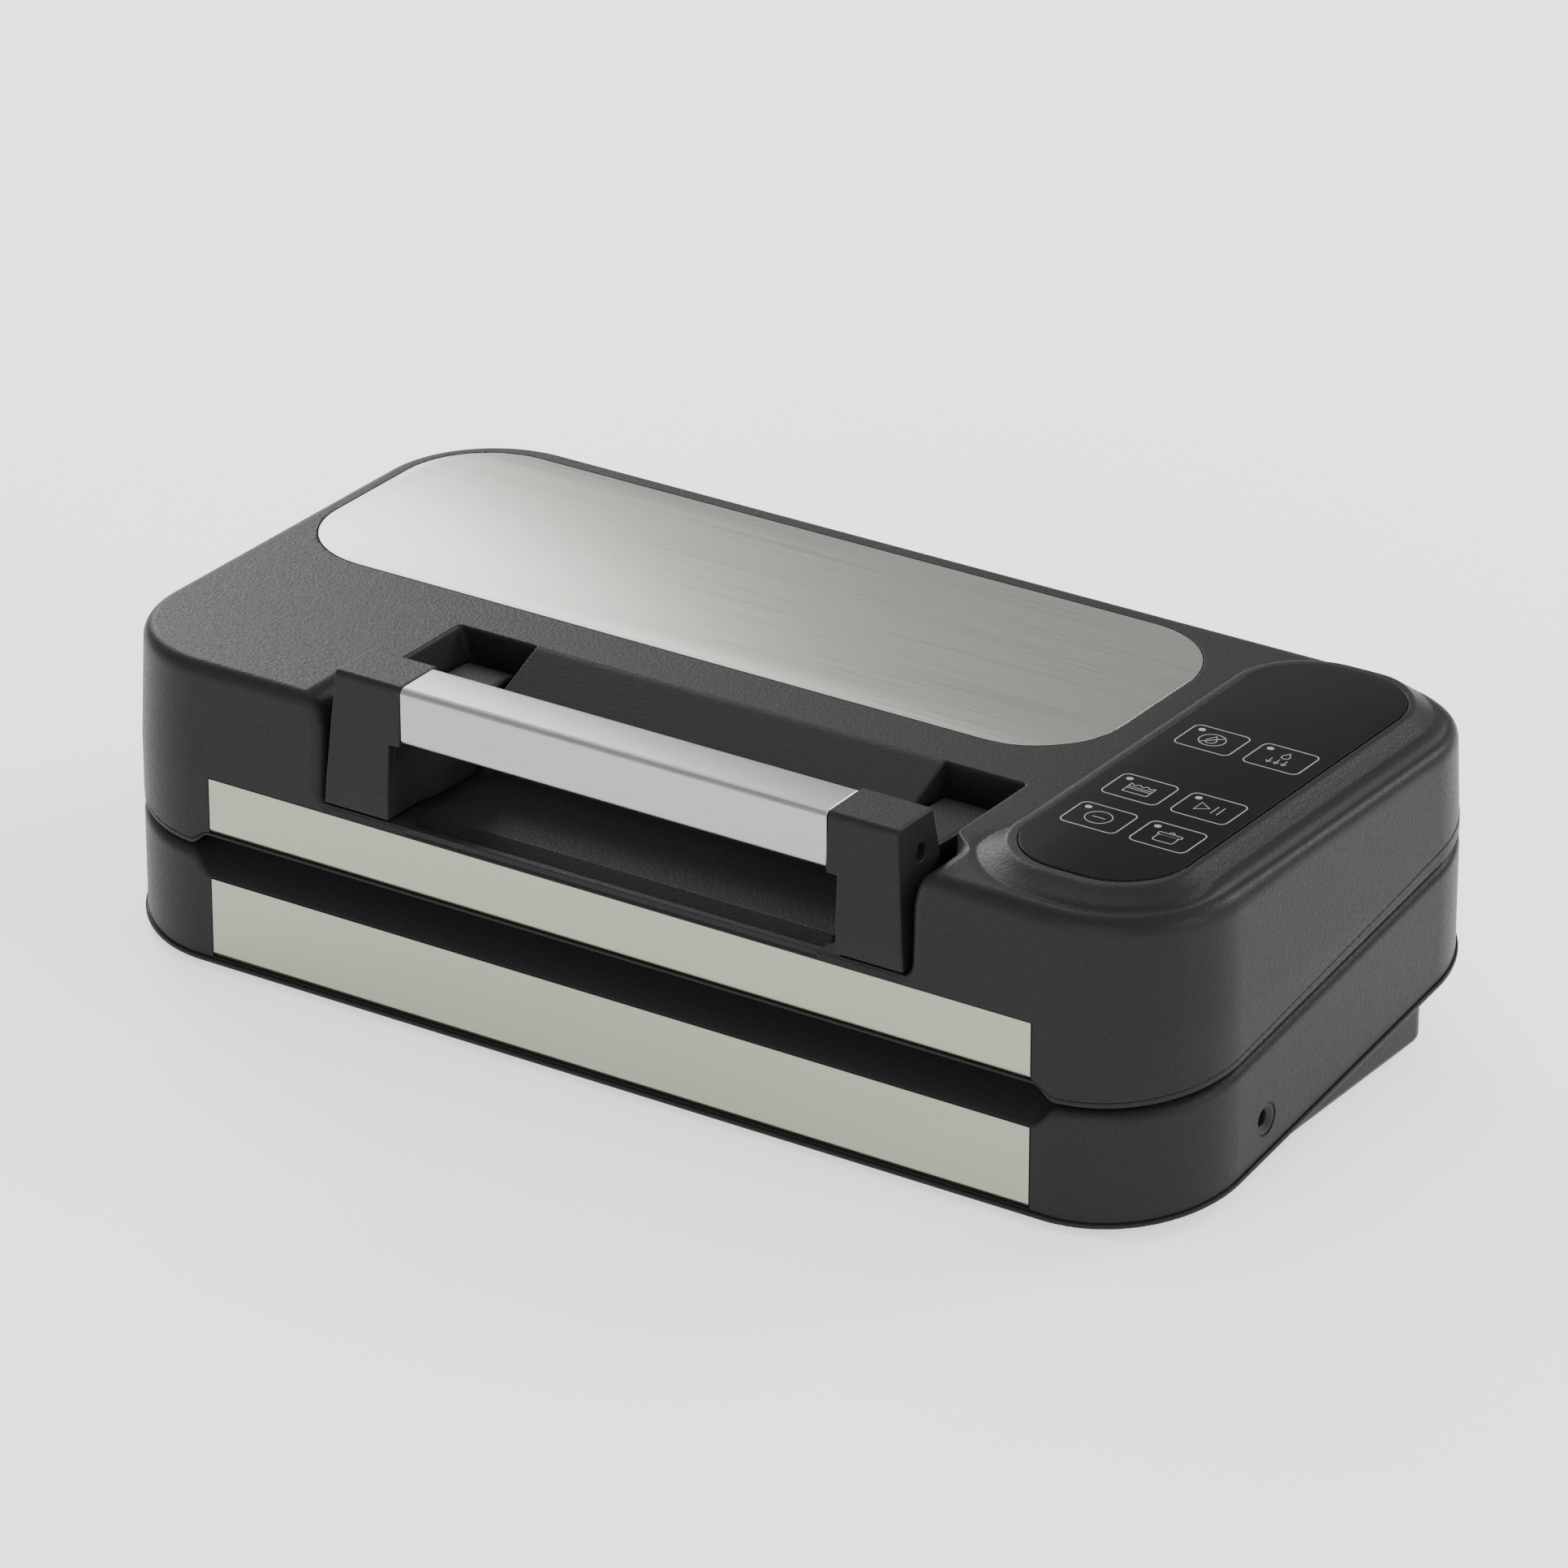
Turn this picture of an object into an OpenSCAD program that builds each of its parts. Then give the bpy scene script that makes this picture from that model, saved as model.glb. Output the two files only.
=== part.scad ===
// Countertop vacuum sealer: base, hinged lid, and a carrying handle that works two latch hooks.
// Frame: millimetres, +Z up, front towards -Y, origin at the middle of the bounding box's underside.
// Every module is written with Y measured back from the front face; from_front() puts it in place.

/* [Casing] */
// Width over the side walls
body_w = 394; // [386:1:400]
// Depth from the front face to the rear wall
body_d = 200; // [196:1:204]
// Height of the lid's flat top
lid_top = 103.4; // [100:0.1:108]
// Plan radius of the casing's corners
corner_r = 42; // [40:1:44]
// Wall thickness of the mouldings
wall = 2.5; // [2:0.1:3]
// How far the walls lean in from the trim to the lid's top
wall_lean = 1.5; // [0.5:0.1:2.5]
// Radius of the lid's top edge
top_round = 4; // [2:0.5:6]

/* [Pitches] */
// Pitch of the deck and the parting line, in degrees
deck_pitch = 8.8; // [8:0.1:9.5]
// Height of the deck plane at the front face
deck_front = 39.8; // [39:0.1:41]
// Vertical gap between the deck and the closed lid
lid_gap = 2; // [1.8:0.1:2.4]
// Height of the lid rim's upper edge at the front face
rim_front = 43.6; // [43.2:0.1:44]
// Pitch of the lid rim's upper edge, in degrees
rim_pitch = 9.76; // [9.2:0.02:10]
// Pitch of the base's underside, in degrees
base_pitch = 8; // [7:0.1:8.4]
// Height of the bottom cover's flange top at the front face
flange_front = 4; // [3.8:0.1:4.4]

/* [Bottom] */
// Height of the rubber feet
foot_h = 2; // [2:0.1:3]
// Radius of the rubber feet
foot_r = 8; // [6:0.5:10]
// How far the flange stands proud of the walls
flange_out = 0.8; // [0.4:0.1:1.2]
// Thickness of the flange
flange_t = 1.5; // [1.4:0.1:2]
// Width of the riser pan
riser_w = 378.6; // [374:0.2:380]
// Front of the riser pan
riser_y0 = 8; // [8:0.5:10]
// Back of the riser pan
riser_y1 = 168; // [164:0.5:170]

/* [Trim] */
// Length of the front steel trims
trim_w = 300; // [290:1:302]
// Thickness of the front steel trims
trim_t = 0.8; // [0.6:0.1:1]
// Lower trim's bottom edge
low_trim_z0 = 4.8; // [4.6:0.1:5.4]
// Lower trim's top edge
low_trim_z1 = 31.6; // [31:0.1:31.8]
// Upper trim's bottom edge
up_trim_z0 = 47.3; // [47.2:0.1:47.8]
// Upper trim's top edge
up_trim_z1 = 65.9; // [65:0.1:66]
// Left end of the lid's steel plate
plate_x0 = -188.6; // [-189:0.2:-180]
// Right end of the lid's steel plate
plate_x1 = 106; // [100:0.2:108]
// Front edge of the lid's steel plate
plate_y0 = 89.8; // [86:0.2:94]
// Rear edge of the lid's steel plate
plate_y1 = 190.2; // [186:0.2:190.4]
// Corner radius of the lid's steel plate
plate_r = 31; // [20:1:36]

/* [Panel] */
// Middle of the touch panel across the lid
panel_x = 150.5; // [149:0.1:151]
// Middle of the touch panel from front to back
panel_y = 103.5; // [103:0.1:104]
// Width of the touch panel
panel_w = 56; // [54:0.5:57]
// Length of the touch panel
panel_l = 167; // [160:1:168]
// Corner radius of the touch panel
panel_r = 22; // [18:0.5:24]
// Height of the panel's raised bed above the lid
bed_h = 3.6; // [3:0.1:4]

/* [Mouth] */
// Width of the bag mouth
mouth_w = 302; // [302:1:304]
// Front edge of the base under the mouth
mouth_low = 32.1; // [32:0.1:33]
// Depth of the sloped lead-in
mouth_y = 14; // [13:0.5:14]
// Lid's lower edge above the mouth
mouth_high = 46.1; // [45.6:0.1:46.2]

/* [Handle] */
// Clear width of the bar between its arms
bar_w = 154.8; // [150:0.2:156]
// Depth of the bar from front to back
bar_d = 18.5; // [16:0.5:19]
// Underside of the bar
bar_z0 = 95.8; // [94:0.1:97]
// Top of the bar
bar_z1 = 114.6; // [113:0.1:116]
// Outer face of the arms at their lower ends
arm_out = 105.5; // [104:0.1:106]
// Inner face of the arms under the bar
arm_in = 81.4; // [81:0.1:84]
// Lower edge of the arms
arm_z0 = 69.8; // [69.4:0.1:71]
// Pivot of the handle from the front face
pivot_y = 57; // [56.5:0.1:57.5]
// Pivot height
pivot_z = 86; // [85.5:0.1:86.5]
// Radius of the latch shaft
shaft_r = 3; // [2.5:0.1:3.2]

/* [Hinge] */
// Lid hinge axis from the front face
hinge_y = 201; // [201:0.1:201.4]
// Outer radius of the hinge knuckles
knuckle_r = 3.6; // [3.2:0.1:3.8]
// Radius of the hinge pins
pin_r = 1.5; // [1.2:0.1:1.8]
// Running clearance on the hinge and handle axes
running = 0.06; // [0.03:0.01:0.1]

/* [Hose port] */
// Distance of the accessory hose port from the front face
port_y = 57; // [55:0.5:60]
// Height of the accessory hose port
port_z = 23.2; // [22.6:0.2:24]
// Bore radius of the accessory hose port
port_r = 2.7; // [2.4:0.1:3]

/* [Pump] */
// Radius of the motor can
motor_r = 14; // [12:0.5:15]
// Throw of the crank
crank_throw = 1.5; // [1:0.1:2]

/* [Hidden] */
$fn = 64;
hull_fn = 48;
big = 600;
slack = 0.2;
eps = 0.01;

mid_y = (hinge_y + knuckle_r - flange_out) / 2;
deck_slope = tan(deck_pitch);
rim_slope = tan(rim_pitch);
base_slope = tan(base_pitch);
hinge_z = deck_front + lid_gap / 2 + body_d * deck_slope;
riser_floor = foot_h + wall;
inner_top = lid_top - wall;
bed_top = lid_top + bed_h;
panel_t = 1.6;
plate_t = 0.8;

// colours
casing_grey = "#3b3b3c";
inner_grey = "#2c2c2d";
steel_grey = "#b8b8ae";
bar_grey = "#bebfc1";
glass_black = "#262627";
rubber_black = "#1c1c1c";
board_green = "#2c5a3a";
silicone_red = "#9c3b2e";
copper = "#b4703c";
clear_white = "#d9dcdc";
zinc = "#9a9da0";

// heights of the deck and the lid's lower rim at a distance y behind the front face
function deck_at(y) = deck_front + y * deck_slope;
function rim_at(y) = rim_front + y * rim_slope;

// ---------- shared shapes ----------
module from_front() {
    translate([0, -mid_y, 0]) children();
}

// local frame lying on the deck: Y runs up the deck, Z stands square on it
module on_deck() {
    translate([0, 0, deck_front]) rotate([deck_pitch, 0, 0]) children();
}

module both_sides() {
    children();
    mirror([1, 0, 0]) children();
}

// a block given by its lowest and highest corners
module block(low, high) {
    translate(low) cube(high - low);
}

module rounded(w, d, r) {
    square([w - 2 * r, d], center = true);
    square([w, d - 2 * r], center = true);
    for (x = [-1, 1], y = [-1, 1]) translate([x * (w / 2 - r), y * (d / 2 - r)]) circle(r);
}

module outline(inset = 0) {
    translate([0, body_d / 2]) rounded(body_w - 2 * inset, body_d - 2 * inset, corner_r - inset);
}

// a [y, z] outline swept across X
module side_prism(half_w, points) {
    rotate([90, 0, 90]) linear_extrude(2 * half_w, center = true) polygon(points);
}

// a [y, z] outline swept from x0 to x1
module side_slab(x0, x1, points) {
    translate([x0, 0, 0]) rotate([90, 0, 90]) linear_extrude(x1 - x0) polygon(points);
}

module above(z, pitch) {
    translate([0, 0, z]) rotate([pitch, 0, 0]) block([-big, -big, 0], [big, big, big]);
}

module below(z, pitch) {
    translate([0, 0, z]) rotate([pitch, 0, 0]) block([-big, -big, -big], [big, big, 0]);
}

module rod_x(x0, x1, y, z, r) {
    translate([x0, y, z]) rotate([0, 90, 0]) cylinder(h = x1 - x0, r = r);
}

module rod_y(y0, y1, x, z, r) {
    translate([x, y0, z]) rotate([-90, 0, 0]) cylinder(h = y1 - y0, r = r);
}

module rod_z(z0, z1, x, y, r) {
    translate([x, y, z0]) cylinder(h = z1 - z0, r = r);
}

module ring_z(h, r_out, r_in) {
    difference() {
        cylinder(h = h, r = r_out);
        translate([0, 0, -1]) cylinder(h = h + 2, r = r_in);
    }
}

// corner cutting: each pass swaps a route's inner points for two nearer ones, which rounds its bends
function cut_corners(p) = concat([p[0]],
    [for (i = [0 : len(p) - 2]) each [p[i] * 0.75 + p[i + 1] * 0.25, p[i] * 0.25 + p[i + 1] * 0.75]],
    [p[len(p) - 1]]);
function unit(v) = v / norm(v);
function heading(p, i) = unit(p[min(i + 1, len(p) - 1)] - p[max(i - 1, 0)]);
// one ring of points round a route, square to its heading
function ring_at(p, i, r, sides) =
    let (h = heading(p, i), side = unit(cross(h, abs(h[2]) < 0.9 ? [0, 0, 1] : [0, 1, 0])),
        up = cross(side, h))
    [for (k = [0 : sides - 1]) p[i] + r * (cos(360 * k / sides) * side + sin(360 * k / sides) * up)];

// a hollow hose along a route
module hose(route, r_out = 4.6, r_in = 3.3, sides = 12) {
    path = cut_corners(cut_corners(route));
    n = len(path);
    rings = [for (i = [0 : n - 1]) each ring_at(path, i, r_out, sides)];
    bores = [for (i = [0 : n - 1]) each ring_at(path, i, r_in, sides)];
    inner = n * sides;
    function at(i, k) = i * sides + k % sides;
    skin = [for (i = [0 : n - 2], k = [0 : sides - 1])
        [at(i, k), at(i, k + 1), at(i + 1, k + 1), at(i + 1, k)]];
    bore = [for (i = [0 : n - 2], k = [0 : sides - 1])
        [inner + at(i, k), inner + at(i + 1, k), inner + at(i + 1, k + 1), inner + at(i, k + 1)]];
    first = [for (k = [0 : sides - 1]) [at(0, k), inner + at(0, k), inner + at(0, k + 1), at(0, k + 1)]];
    last = [for (k = [0 : sides - 1]) [at(n - 1, k), at(n - 1, k + 1),
        inner + at(n - 1, k + 1), inner + at(n - 1, k)]];
    polyhedron(concat(rings, bores), concat(skin, bore, first, last), convexity = 6);
}

// ---------- base ----------
boss_r = 4;
boss_hole = 1.4;
base_bosses = [for (x = [-178, 178], y = [26, 92, 150]) [x, y]];
foot_spots = [for (x = [-158, 158], y = [32, 152]) [x, y]];
foot_stem_r = 2.5;
knuckle_x = [[100, 110], [120, 130]];
lid_knuckle_x = [110.3, 119.7];
hook_x0 = 164;
hook_x1 = 172;
hook_slot = [[162.5, 31], [173.5, 65]];
strip_y = 26;
tray_half = 148;
tray_y0 = 46;
tray_y1 = 84;
ring_half = 159;
ring_y0 = 36;
ring_y1 = 94;
ring_band = 6.5;
inlet_x = -140;
inlet_z = 50;
nozzle = [-118, 72];
switch_spot = [150, 150];

// the space above the lead-in, between the mouth's ends
module mouth_space(low, drop, grow) {
    reach = mouth_y + grow;
    intersection() {
        side_prism(big, [[-5, low - 5 * (deck_at(mouth_y) - mouth_low) / mouth_y - drop],
            [reach, deck_at(reach) - drop], [reach, 90], [-5, 90]]);
        rotate([90, 0, 0]) translate([0, 0, -60]) linear_extrude(120) polygon([
            [-mouth_w / 2 - grow, 0], [mouth_w / 2 + grow, 0],
            [mouth_w / 2 + grow, mouth_low - drop], [mouth_w / 2 + 6 + grow, deck_front - drop],
            [mouth_w / 2 + 6 + grow, 90], [-mouth_w / 2 - 6 - grow, 90],
            [-mouth_w / 2 - 6 - grow, deck_front - drop], [-mouth_w / 2 - grow, mouth_low - drop]]);
    }
}

module base_body(inset, drop) {
    difference() {
        linear_extrude(95) outline(inset);
        above(deck_front - drop, deck_pitch);
        below(flange_front - (inset > 0 ? 3 : 0), base_pitch);
        mouth_space(mouth_low, drop * 1.2, inset > 0 ? 1 : 0);
    }
}

module gasket_ring(z0, z1, extra = 0) {
    depth = ring_y1 - ring_y0;
    translate([0, (ring_y0 + ring_y1) / 2, z0]) linear_extrude(z1 - z0) difference() {
        rounded(2 * ring_half + 2 * extra, depth + 2 * extra, 10 + extra);
        rounded(2 * (ring_half - ring_band) - 2 * extra, depth - 2 * ring_band - 2 * extra,
            4 - extra);
    }
}

module base_shell() {
    color(casing_grey) from_front() difference() {
        union() {
            difference() {
                base_body(0, 0);
                base_body(wall, wall / cos(deck_pitch));
            }
            // backing behind the trim, screw towers, switch boss and hinge knuckles
            block([-trim_w / 2 - 2, wall - eps, low_trim_z0 + 2], [trim_w / 2 + 2, wall + trim_t, 28]);
            for (p = base_bosses) rod_z(riser_floor, deck_at(p[1]) - wall / 2, p[0], p[1], boss_r);
            both_sides() for (k = knuckle_x) {
                rod_x(k[0], k[1], hinge_y, hinge_z, knuckle_r);
                block([k[0], body_d - wall, hinge_z - 8], [k[1], hinge_y + knuckle_r - 1, hinge_z]);
            }
            on_deck() block([-164, 16.6, -4], [-162.2, 35.4, -wall + eps]);
        }
        block([-trim_w / 2 - slack, -1, low_trim_z0 - slack],
            [trim_w / 2 + slack, trim_t, low_trim_z1 + slack]);
        for (p = base_bosses) rod_z(0, riser_floor + 14, p[0], p[1], boss_hole);
        both_sides() {
            rod_x(knuckle_x[0][0] - 1, knuckle_x[1][1] + 1, hinge_y, hinge_z, pin_r);
            block([lid_knuckle_x[0] - 0.4, body_d - wall - 1, hinge_z - knuckle_r - 0.5],
                [lid_knuckle_x[1] + 0.4, body_d + 9, 90]);
            on_deck() block([hook_slot[0][0], hook_slot[0][1], -6],
                [hook_slot[1][0], hook_slot[1][1], 3]);
        }
        rod_x(body_w / 2 - 6, body_w / 2 + 2, port_y, port_z, 5);
        block([inlet_x - 11.2, body_d - 6, inlet_z - 7.2], [inlet_x + 11.2, body_d + 3, inlet_z + 7.2]);
        on_deck() {
            block([-162, 19, -6], [162, 33, 3]);
            block([-tray_half, tray_y0, -6], [tray_half, tray_y1, 3]);
            gasket_ring(-1.2, 3, slack / 2);
            rod_z(-6, 3, switch_spot[0], switch_spot[1], 1.8);
        }
    }
}

module riser_block(inset, floor_z) {
    depth = riser_y1 - riser_y0 - 2 * inset;
    difference() {
        translate([0, 0, floor_z]) linear_extrude(60) intersection() {
            translate([0, (riser_y0 + riser_y1) / 2])
                rounded(riser_w - 2 * inset, depth, 9 - inset);
            outline(6 + inset);
        }
        above(flange_front + (inset > 0 ? 9 : -eps), base_pitch);
    }
}

module bottom_cover() {
    color(casing_grey) from_front() difference() {
        union() {
            intersection() {
                translate([0, 0, -5]) linear_extrude(60) outline(-flange_out);
                translate([0, 0, flange_front]) rotate([base_pitch, 0, 0])
                    block([-big, -big, -flange_t], [big, big, 0]);
            }
            riser_block(0, foot_h);
        }
        riser_block(wall, riser_floor);
        for (p = base_bosses) rod_z(0, 9, p[0], p[1], boss_hole + 0.4);
        for (p = base_bosses) rod_z(0, foot_h + 1.2, p[0], p[1], 3.4);
        for (p = foot_spots) rod_z(0, 9, p[0], p[1], foot_stem_r);
    }
}

module base_trim() {
    color(steel_grey) from_front()
        block([-trim_w / 2, 0, low_trim_z0], [trim_w / 2, trim_t, low_trim_z1]);
}

module rubber_feet() {
    color(rubber_black) from_front() for (p = foot_spots) translate([p[0], p[1], 0]) {
        rotate_extrude() polygon([[0, 0], [foot_r - 0.6, 0], [foot_r, 0.6], [foot_r, foot_h],
            [foot_stem_r, foot_h], [foot_stem_r, foot_h + wall + 1], [0, foot_h + wall + 1]]);
    }
}

module bottom_screws() {
    color(zinc) from_front() for (p = base_bosses) difference() {
        union() {
            rod_z(foot_h + 0.2, foot_h + 1.2, p[0], p[1], 3);
            rod_z(foot_h + 1.2 - eps, riser_floor + 12, p[0], p[1], boss_hole);
        }
        block([p[0] - 2, p[1] - 0.4, 0], [p[0] + 2, p[1] + 0.4, foot_h + 0.8]);
        block([p[0] - 0.4, p[1] - 2, 0], [p[0] + 0.4, p[1] + 2, foot_h + 0.8]);
    }
}

// ---------- sealing gear in the base ----------
module heater_bar() {
    color(inner_grey) from_front() on_deck() difference() {
        union() {
            block([-161.8, 19.2, -10], [161.8, 32.8, 0]);
            block([-161.8, 17.2, -5], [161.8, 34.8, -wall]);
        }
        for (x = [-152, 152]) rod_z(-12, 2, x, strip_y, 1.5);
    }
}

module heating_strip() {
    color(copper) from_front() on_deck() {
        block([-156, strip_y - 2.5, 0], [156, strip_y + 2.5, 0.25]);
    }
}

module ptfe_tape() {
    color("#6d5c45") from_front() on_deck() {
        block([-157, strip_y - 6, 0.25], [157, strip_y + 6, 0.45]);
    }
}

module heater_terminals() {
    color(zinc) from_front() on_deck() for (x = [-152, 152]) {
        rod_z(-14, 0, x, strip_y, 1.5);
        rod_z(-12.5, -10, x, strip_y, 3.2);
    }
}

module drip_tray() {
    color(clear_white) from_front() on_deck() difference() {
        union() {
            block([-tray_half + slack, tray_y0 + slack, -14], [tray_half - slack, tray_y1 - slack, 0.9]);
            translate([0, (tray_y0 + tray_y1) / 2]) linear_extrude(0.9)
                rounded(2 * tray_half + 6, tray_y1 - tray_y0 + 6, 4);
        }
        block([-tray_half + 1.7, tray_y0 + 1.7, -12.5], [tray_half - 1.7, tray_y1 - 1.7, 3]);
        rod_z(-20, 3, nozzle[0], nozzle[1], 4.2);
    }
}

module lower_gasket() {
    color(rubber_black) from_front() on_deck() gasket_ring(-1.2, 0.85);
}

module suction_nozzle() {
    color(inner_grey) from_front() on_deck() translate([nozzle[0], nozzle[1], -18]) difference() {
        union() {
            cylinder(h = 15, r = 4);
            cylinder(h = 3.8, r = 6.5);
            translate([0, 0, -6]) cylinder(h = 7, r = 2);
        }
        translate([0, 0, -7]) cylinder(h = 20, r = 1.2);
        for (a = [0, 60, 120]) rotate(a) block([-5, -0.4, 8], [5, 0.4, 12.5]);
    }
}

module latch_catches() {
    color(zinc) from_front() both_sides() on_deck() {
        block([160, 65.4, -wall - 2], [176, 76, -wall]);
        block([hook_x0 - 1, 65.4, -wall - 7], [hook_x1 + 1, 67.4, -wall - 2 + eps]);
    }
}

module hinge_pins() {
    color(zinc) from_front() both_sides()
        rod_x(knuckle_x[0][0] - 0.5, knuckle_x[1][1] + 0.5, hinge_y, hinge_z, pin_r);
}

// ---------- air circuit ----------
port_face = body_w / 2 - 0.4;
valve_spot = [104, 116, 16];
head_z0 = 41;
head_z1 = 51;
frame_x = 14;
pump_y = 130;
shaft_z = 24;

module hose_port() {
    color(inner_grey) from_front() difference() {
        union() {
            rod_x(port_face - 10, port_face, port_y, port_z, 5);
            rod_x(port_face - 13, port_face - 9, port_y, port_z, 7);
            rod_x(port_face - 22, port_face - 12, port_y, port_z, 3);
        }
        rod_x(port_face - 30, port_face + 2, port_y, port_z, port_r - 0.9);
        rod_x(port_face - 10, port_face + 2, port_y, port_z, port_r);
        translate([port_face - 1.4, port_y, port_z]) rotate([0, 90, 0])
            cylinder(h = 1.5, r1 = port_r, r2 = port_r + 1.5);
    }
}

// accessory branch: from the hose port along the floor to the release valve
module port_tube() {
    color(clear_white) from_front()
        hose([[port_face - 14, port_y, port_z], [150, port_y, port_z], [148, 84, 14],
            [144, valve_spot[1], valve_spot[2]], [valve_spot[0] + 15, valve_spot[1], valve_spot[2]]]);
}

// from the nozzle under the tray to the pump's inlet
module suction_tube() {
    start = [nozzle[0], nozzle[1] * cos(deck_pitch) + 20 * sin(deck_pitch),
        deck_front + nozzle[1] * sin(deck_pitch) - 20 * cos(deck_pitch)];
    color(clear_white) from_front()
        hose([start, start + [0, 4, -9], [nozzle[0] + 30, 90, 34], [-52, 118, 44],
            [-40, 122, (head_z0 + head_z1) / 2], [-frame_x - 8, 122, (head_z0 + head_z1) / 2]]);
}

module release_valve() {
    color(inner_grey) from_front() translate(valve_spot) {
        rod_x(-12, 12, 0, 0, 9);
        rod_x(12 - eps, 21, 0, 0, 3);
        rod_x(-20, -12 + eps, 0, 0, 3);
        block([-10, -9, riser_floor - valve_spot[2]], [10, 9, 0]);
    }
}

// ---------- pump ----------
module pump_frame() {
    color(inner_grey) from_front() difference() {
        block([-frame_x, pump_y - 17, 10], [frame_x, pump_y + 17, head_z0]);
        block([-frame_x + 3, pump_y - 14, 13], [frame_x - 3, pump_y + 14, head_z0 - 3]);
        rod_x(0, frame_x + 1, pump_y, shaft_z, 6);
        rod_z(head_z0 - 5, head_z0 + 1, 0, pump_y, 11);
    }
}

module pump_head() {
    color("#4a4a4c") from_front() difference() {
        union() {
            block([-frame_x, pump_y - 17, head_z0], [frame_x, pump_y + 17, head_z1]);
            rod_x(-frame_x - 14, -frame_x + 1, 122, (head_z0 + head_z1) / 2, 3);
            rod_x(frame_x - 1, frame_x + 12, 138, (head_z0 + head_z1) / 2, 3);
        }
        rod_z(head_z0 - 1, head_z0 + 5, 0, pump_y, 11.5);
        rod_x(-frame_x - 20, 0, 122, (head_z0 + head_z1) / 2, 1.4);
        rod_x(0, frame_x + 20, 138, (head_z0 + head_z1) / 2, 1.4);
    }
}

// connecting rod with its diaphragm plate; its eye clears the whole circle of the crank pin
module pump_rod() {
    color(clear_white) from_front() {
        difference() {
            union() {
                rod_x(-5, -1, pump_y, shaft_z, 9.6);
                block([-5, pump_y - 3, shaft_z + 8], [-1, pump_y + 3, head_z0 + 1]);
                rod_z(head_z0 + 1 - eps, head_z0 + 2.5, 0, pump_y, 10);
            }
            rod_x(-6, 0, pump_y, shaft_z, 7.2);
        }
    }
}

module pump_grommets() {
    color(rubber_black) from_front()
        for (x = [-9, 9], y = [-12, 12]) rod_z(riser_floor, 10, x, pump_y + y, 4);
}

module motor_can() {
    color(zinc) from_front() difference() {
        union() {
            rod_x(frame_x, frame_x + 46, pump_y, shaft_z, motor_r);
            rod_x(frame_x + 46 - eps, frame_x + 50, pump_y, shaft_z, 5);
        }
        rod_x(frame_x + 2, frame_x + 44, pump_y, shaft_z, motor_r - 1);
        rod_x(frame_x - 1, frame_x + 48, pump_y, shaft_z, pin_r + running);
    }
}

module motor_magnets() {
    color(rubber_black) from_front() difference() {
        rod_x(frame_x + 8, frame_x + 38, pump_y, shaft_z, motor_r - 1.05);
        rod_x(frame_x, frame_x + 50, pump_y, shaft_z, motor_r - 3.4);
        block([0, pump_y - 3, 0], [90, pump_y + 3, 60]);
    }
}

module motor_shaft() {
    color(zinc) from_front() rod_x(-7, frame_x + 47.5, pump_y, shaft_z, pin_r);
}

module motor_armature() {
    color(copper) from_front() difference() {
        union() {
            for (a = [0 : 72 : 288]) translate([frame_x + 10, pump_y, shaft_z]) rotate([a, 0, 0])
                block([0, -2.2, 1], [26, 2.2, motor_r - 4.6]);
            rod_x(frame_x + 9, frame_x + 42, pump_y, shaft_z, 4.4);
        }
        rod_x(frame_x, frame_x + 50, pump_y, shaft_z, pin_r);
    }
}

module crank() {
    color(zinc) from_front() difference() {
        union() {
            rod_x(-5.5, 0, pump_y, shaft_z + crank_throw, 5.2);
            rod_x(0 - eps, 4, pump_y, shaft_z, 8);
            block([0, pump_y - 4, shaft_z - 9.6], [4, pump_y + 4, shaft_z - 4]);
        }
        rod_x(-9, 6, pump_y, shaft_z, pin_r);
    }
}

// ---------- power ----------
board_low = [-172, 100];
board_high = [-62, 148];
board_z = 12;
board_t = 1.6;
board_top = board_z + board_t;

module power_inlet() {
    color(rubber_black) from_front() difference() {
        union() {
            block([inlet_x - 11, body_d - 18, inlet_z - 7], [inlet_x + 11, body_d, inlet_z + 7]);
            block([inlet_x - 13, body_d, inlet_z - 9], [inlet_x + 13, body_d + 1.5, inlet_z + 9]);
        }
        for (x = [-4.4, 4.4]) rod_y(body_d - 13, body_d + 3, inlet_x + x, inlet_z, 4.2);
        block([inlet_x - 4.4, body_d - 13, inlet_z - 2.6], [inlet_x + 4.4, body_d + 3, inlet_z + 2.6]);
    }
}

module inlet_pins() {
    color(zinc) from_front() for (x = [-4.3, 4.3]) {
        rod_y(body_d - 13, body_d - 2, inlet_x + x, inlet_z, 1.2);
        rod_y(body_d - 24, body_d - 18, inlet_x + x, inlet_z, 1.2);
    }
}

module power_board() {
    color(board_green) from_front() difference() {
        block([board_low[0], board_low[1], board_z], [board_high[0], board_high[1], board_top]);
        for (x = [board_low[0] + 5, board_high[0] - 5], y = [board_low[1] + 5, board_high[1] - 5])
            rod_z(board_z - 1, board_top + 1, x, y, 1.6);
    }
}

module board_screws() {
    color(zinc) from_front()
        for (x = [board_low[0] + 5, board_high[0] - 5], y = [board_low[1] + 5, board_high[1] - 5]) {
            rod_z(riser_floor, board_z, x, y, 3.2);
            rod_z(board_z - eps, board_top + eps, x, y, 1.5);
            rod_z(board_top, board_top + 2, x, y, 2.8);
        }
}

module transformer() {
    color("#c8a24a") from_front() {
        block([-150, 112, board_top], [-118, 142, board_top + 4]);
        block([-147, 114, board_top + 4 - eps], [-121, 140, board_top + 24]);
    }
}

module capacitors() {
    color("#3d4763") from_front() {
        for (y = [116, 136]) rod_z(board_top, board_top + 22, -104, y, 7);
        rod_z(board_top, board_top + 14, -88, 112, 4);
    }
}

module relay() {
    color("#2b3a80") from_front() block([-84, 116, board_top], [-68, 136, board_top + 16]);
}

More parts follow.
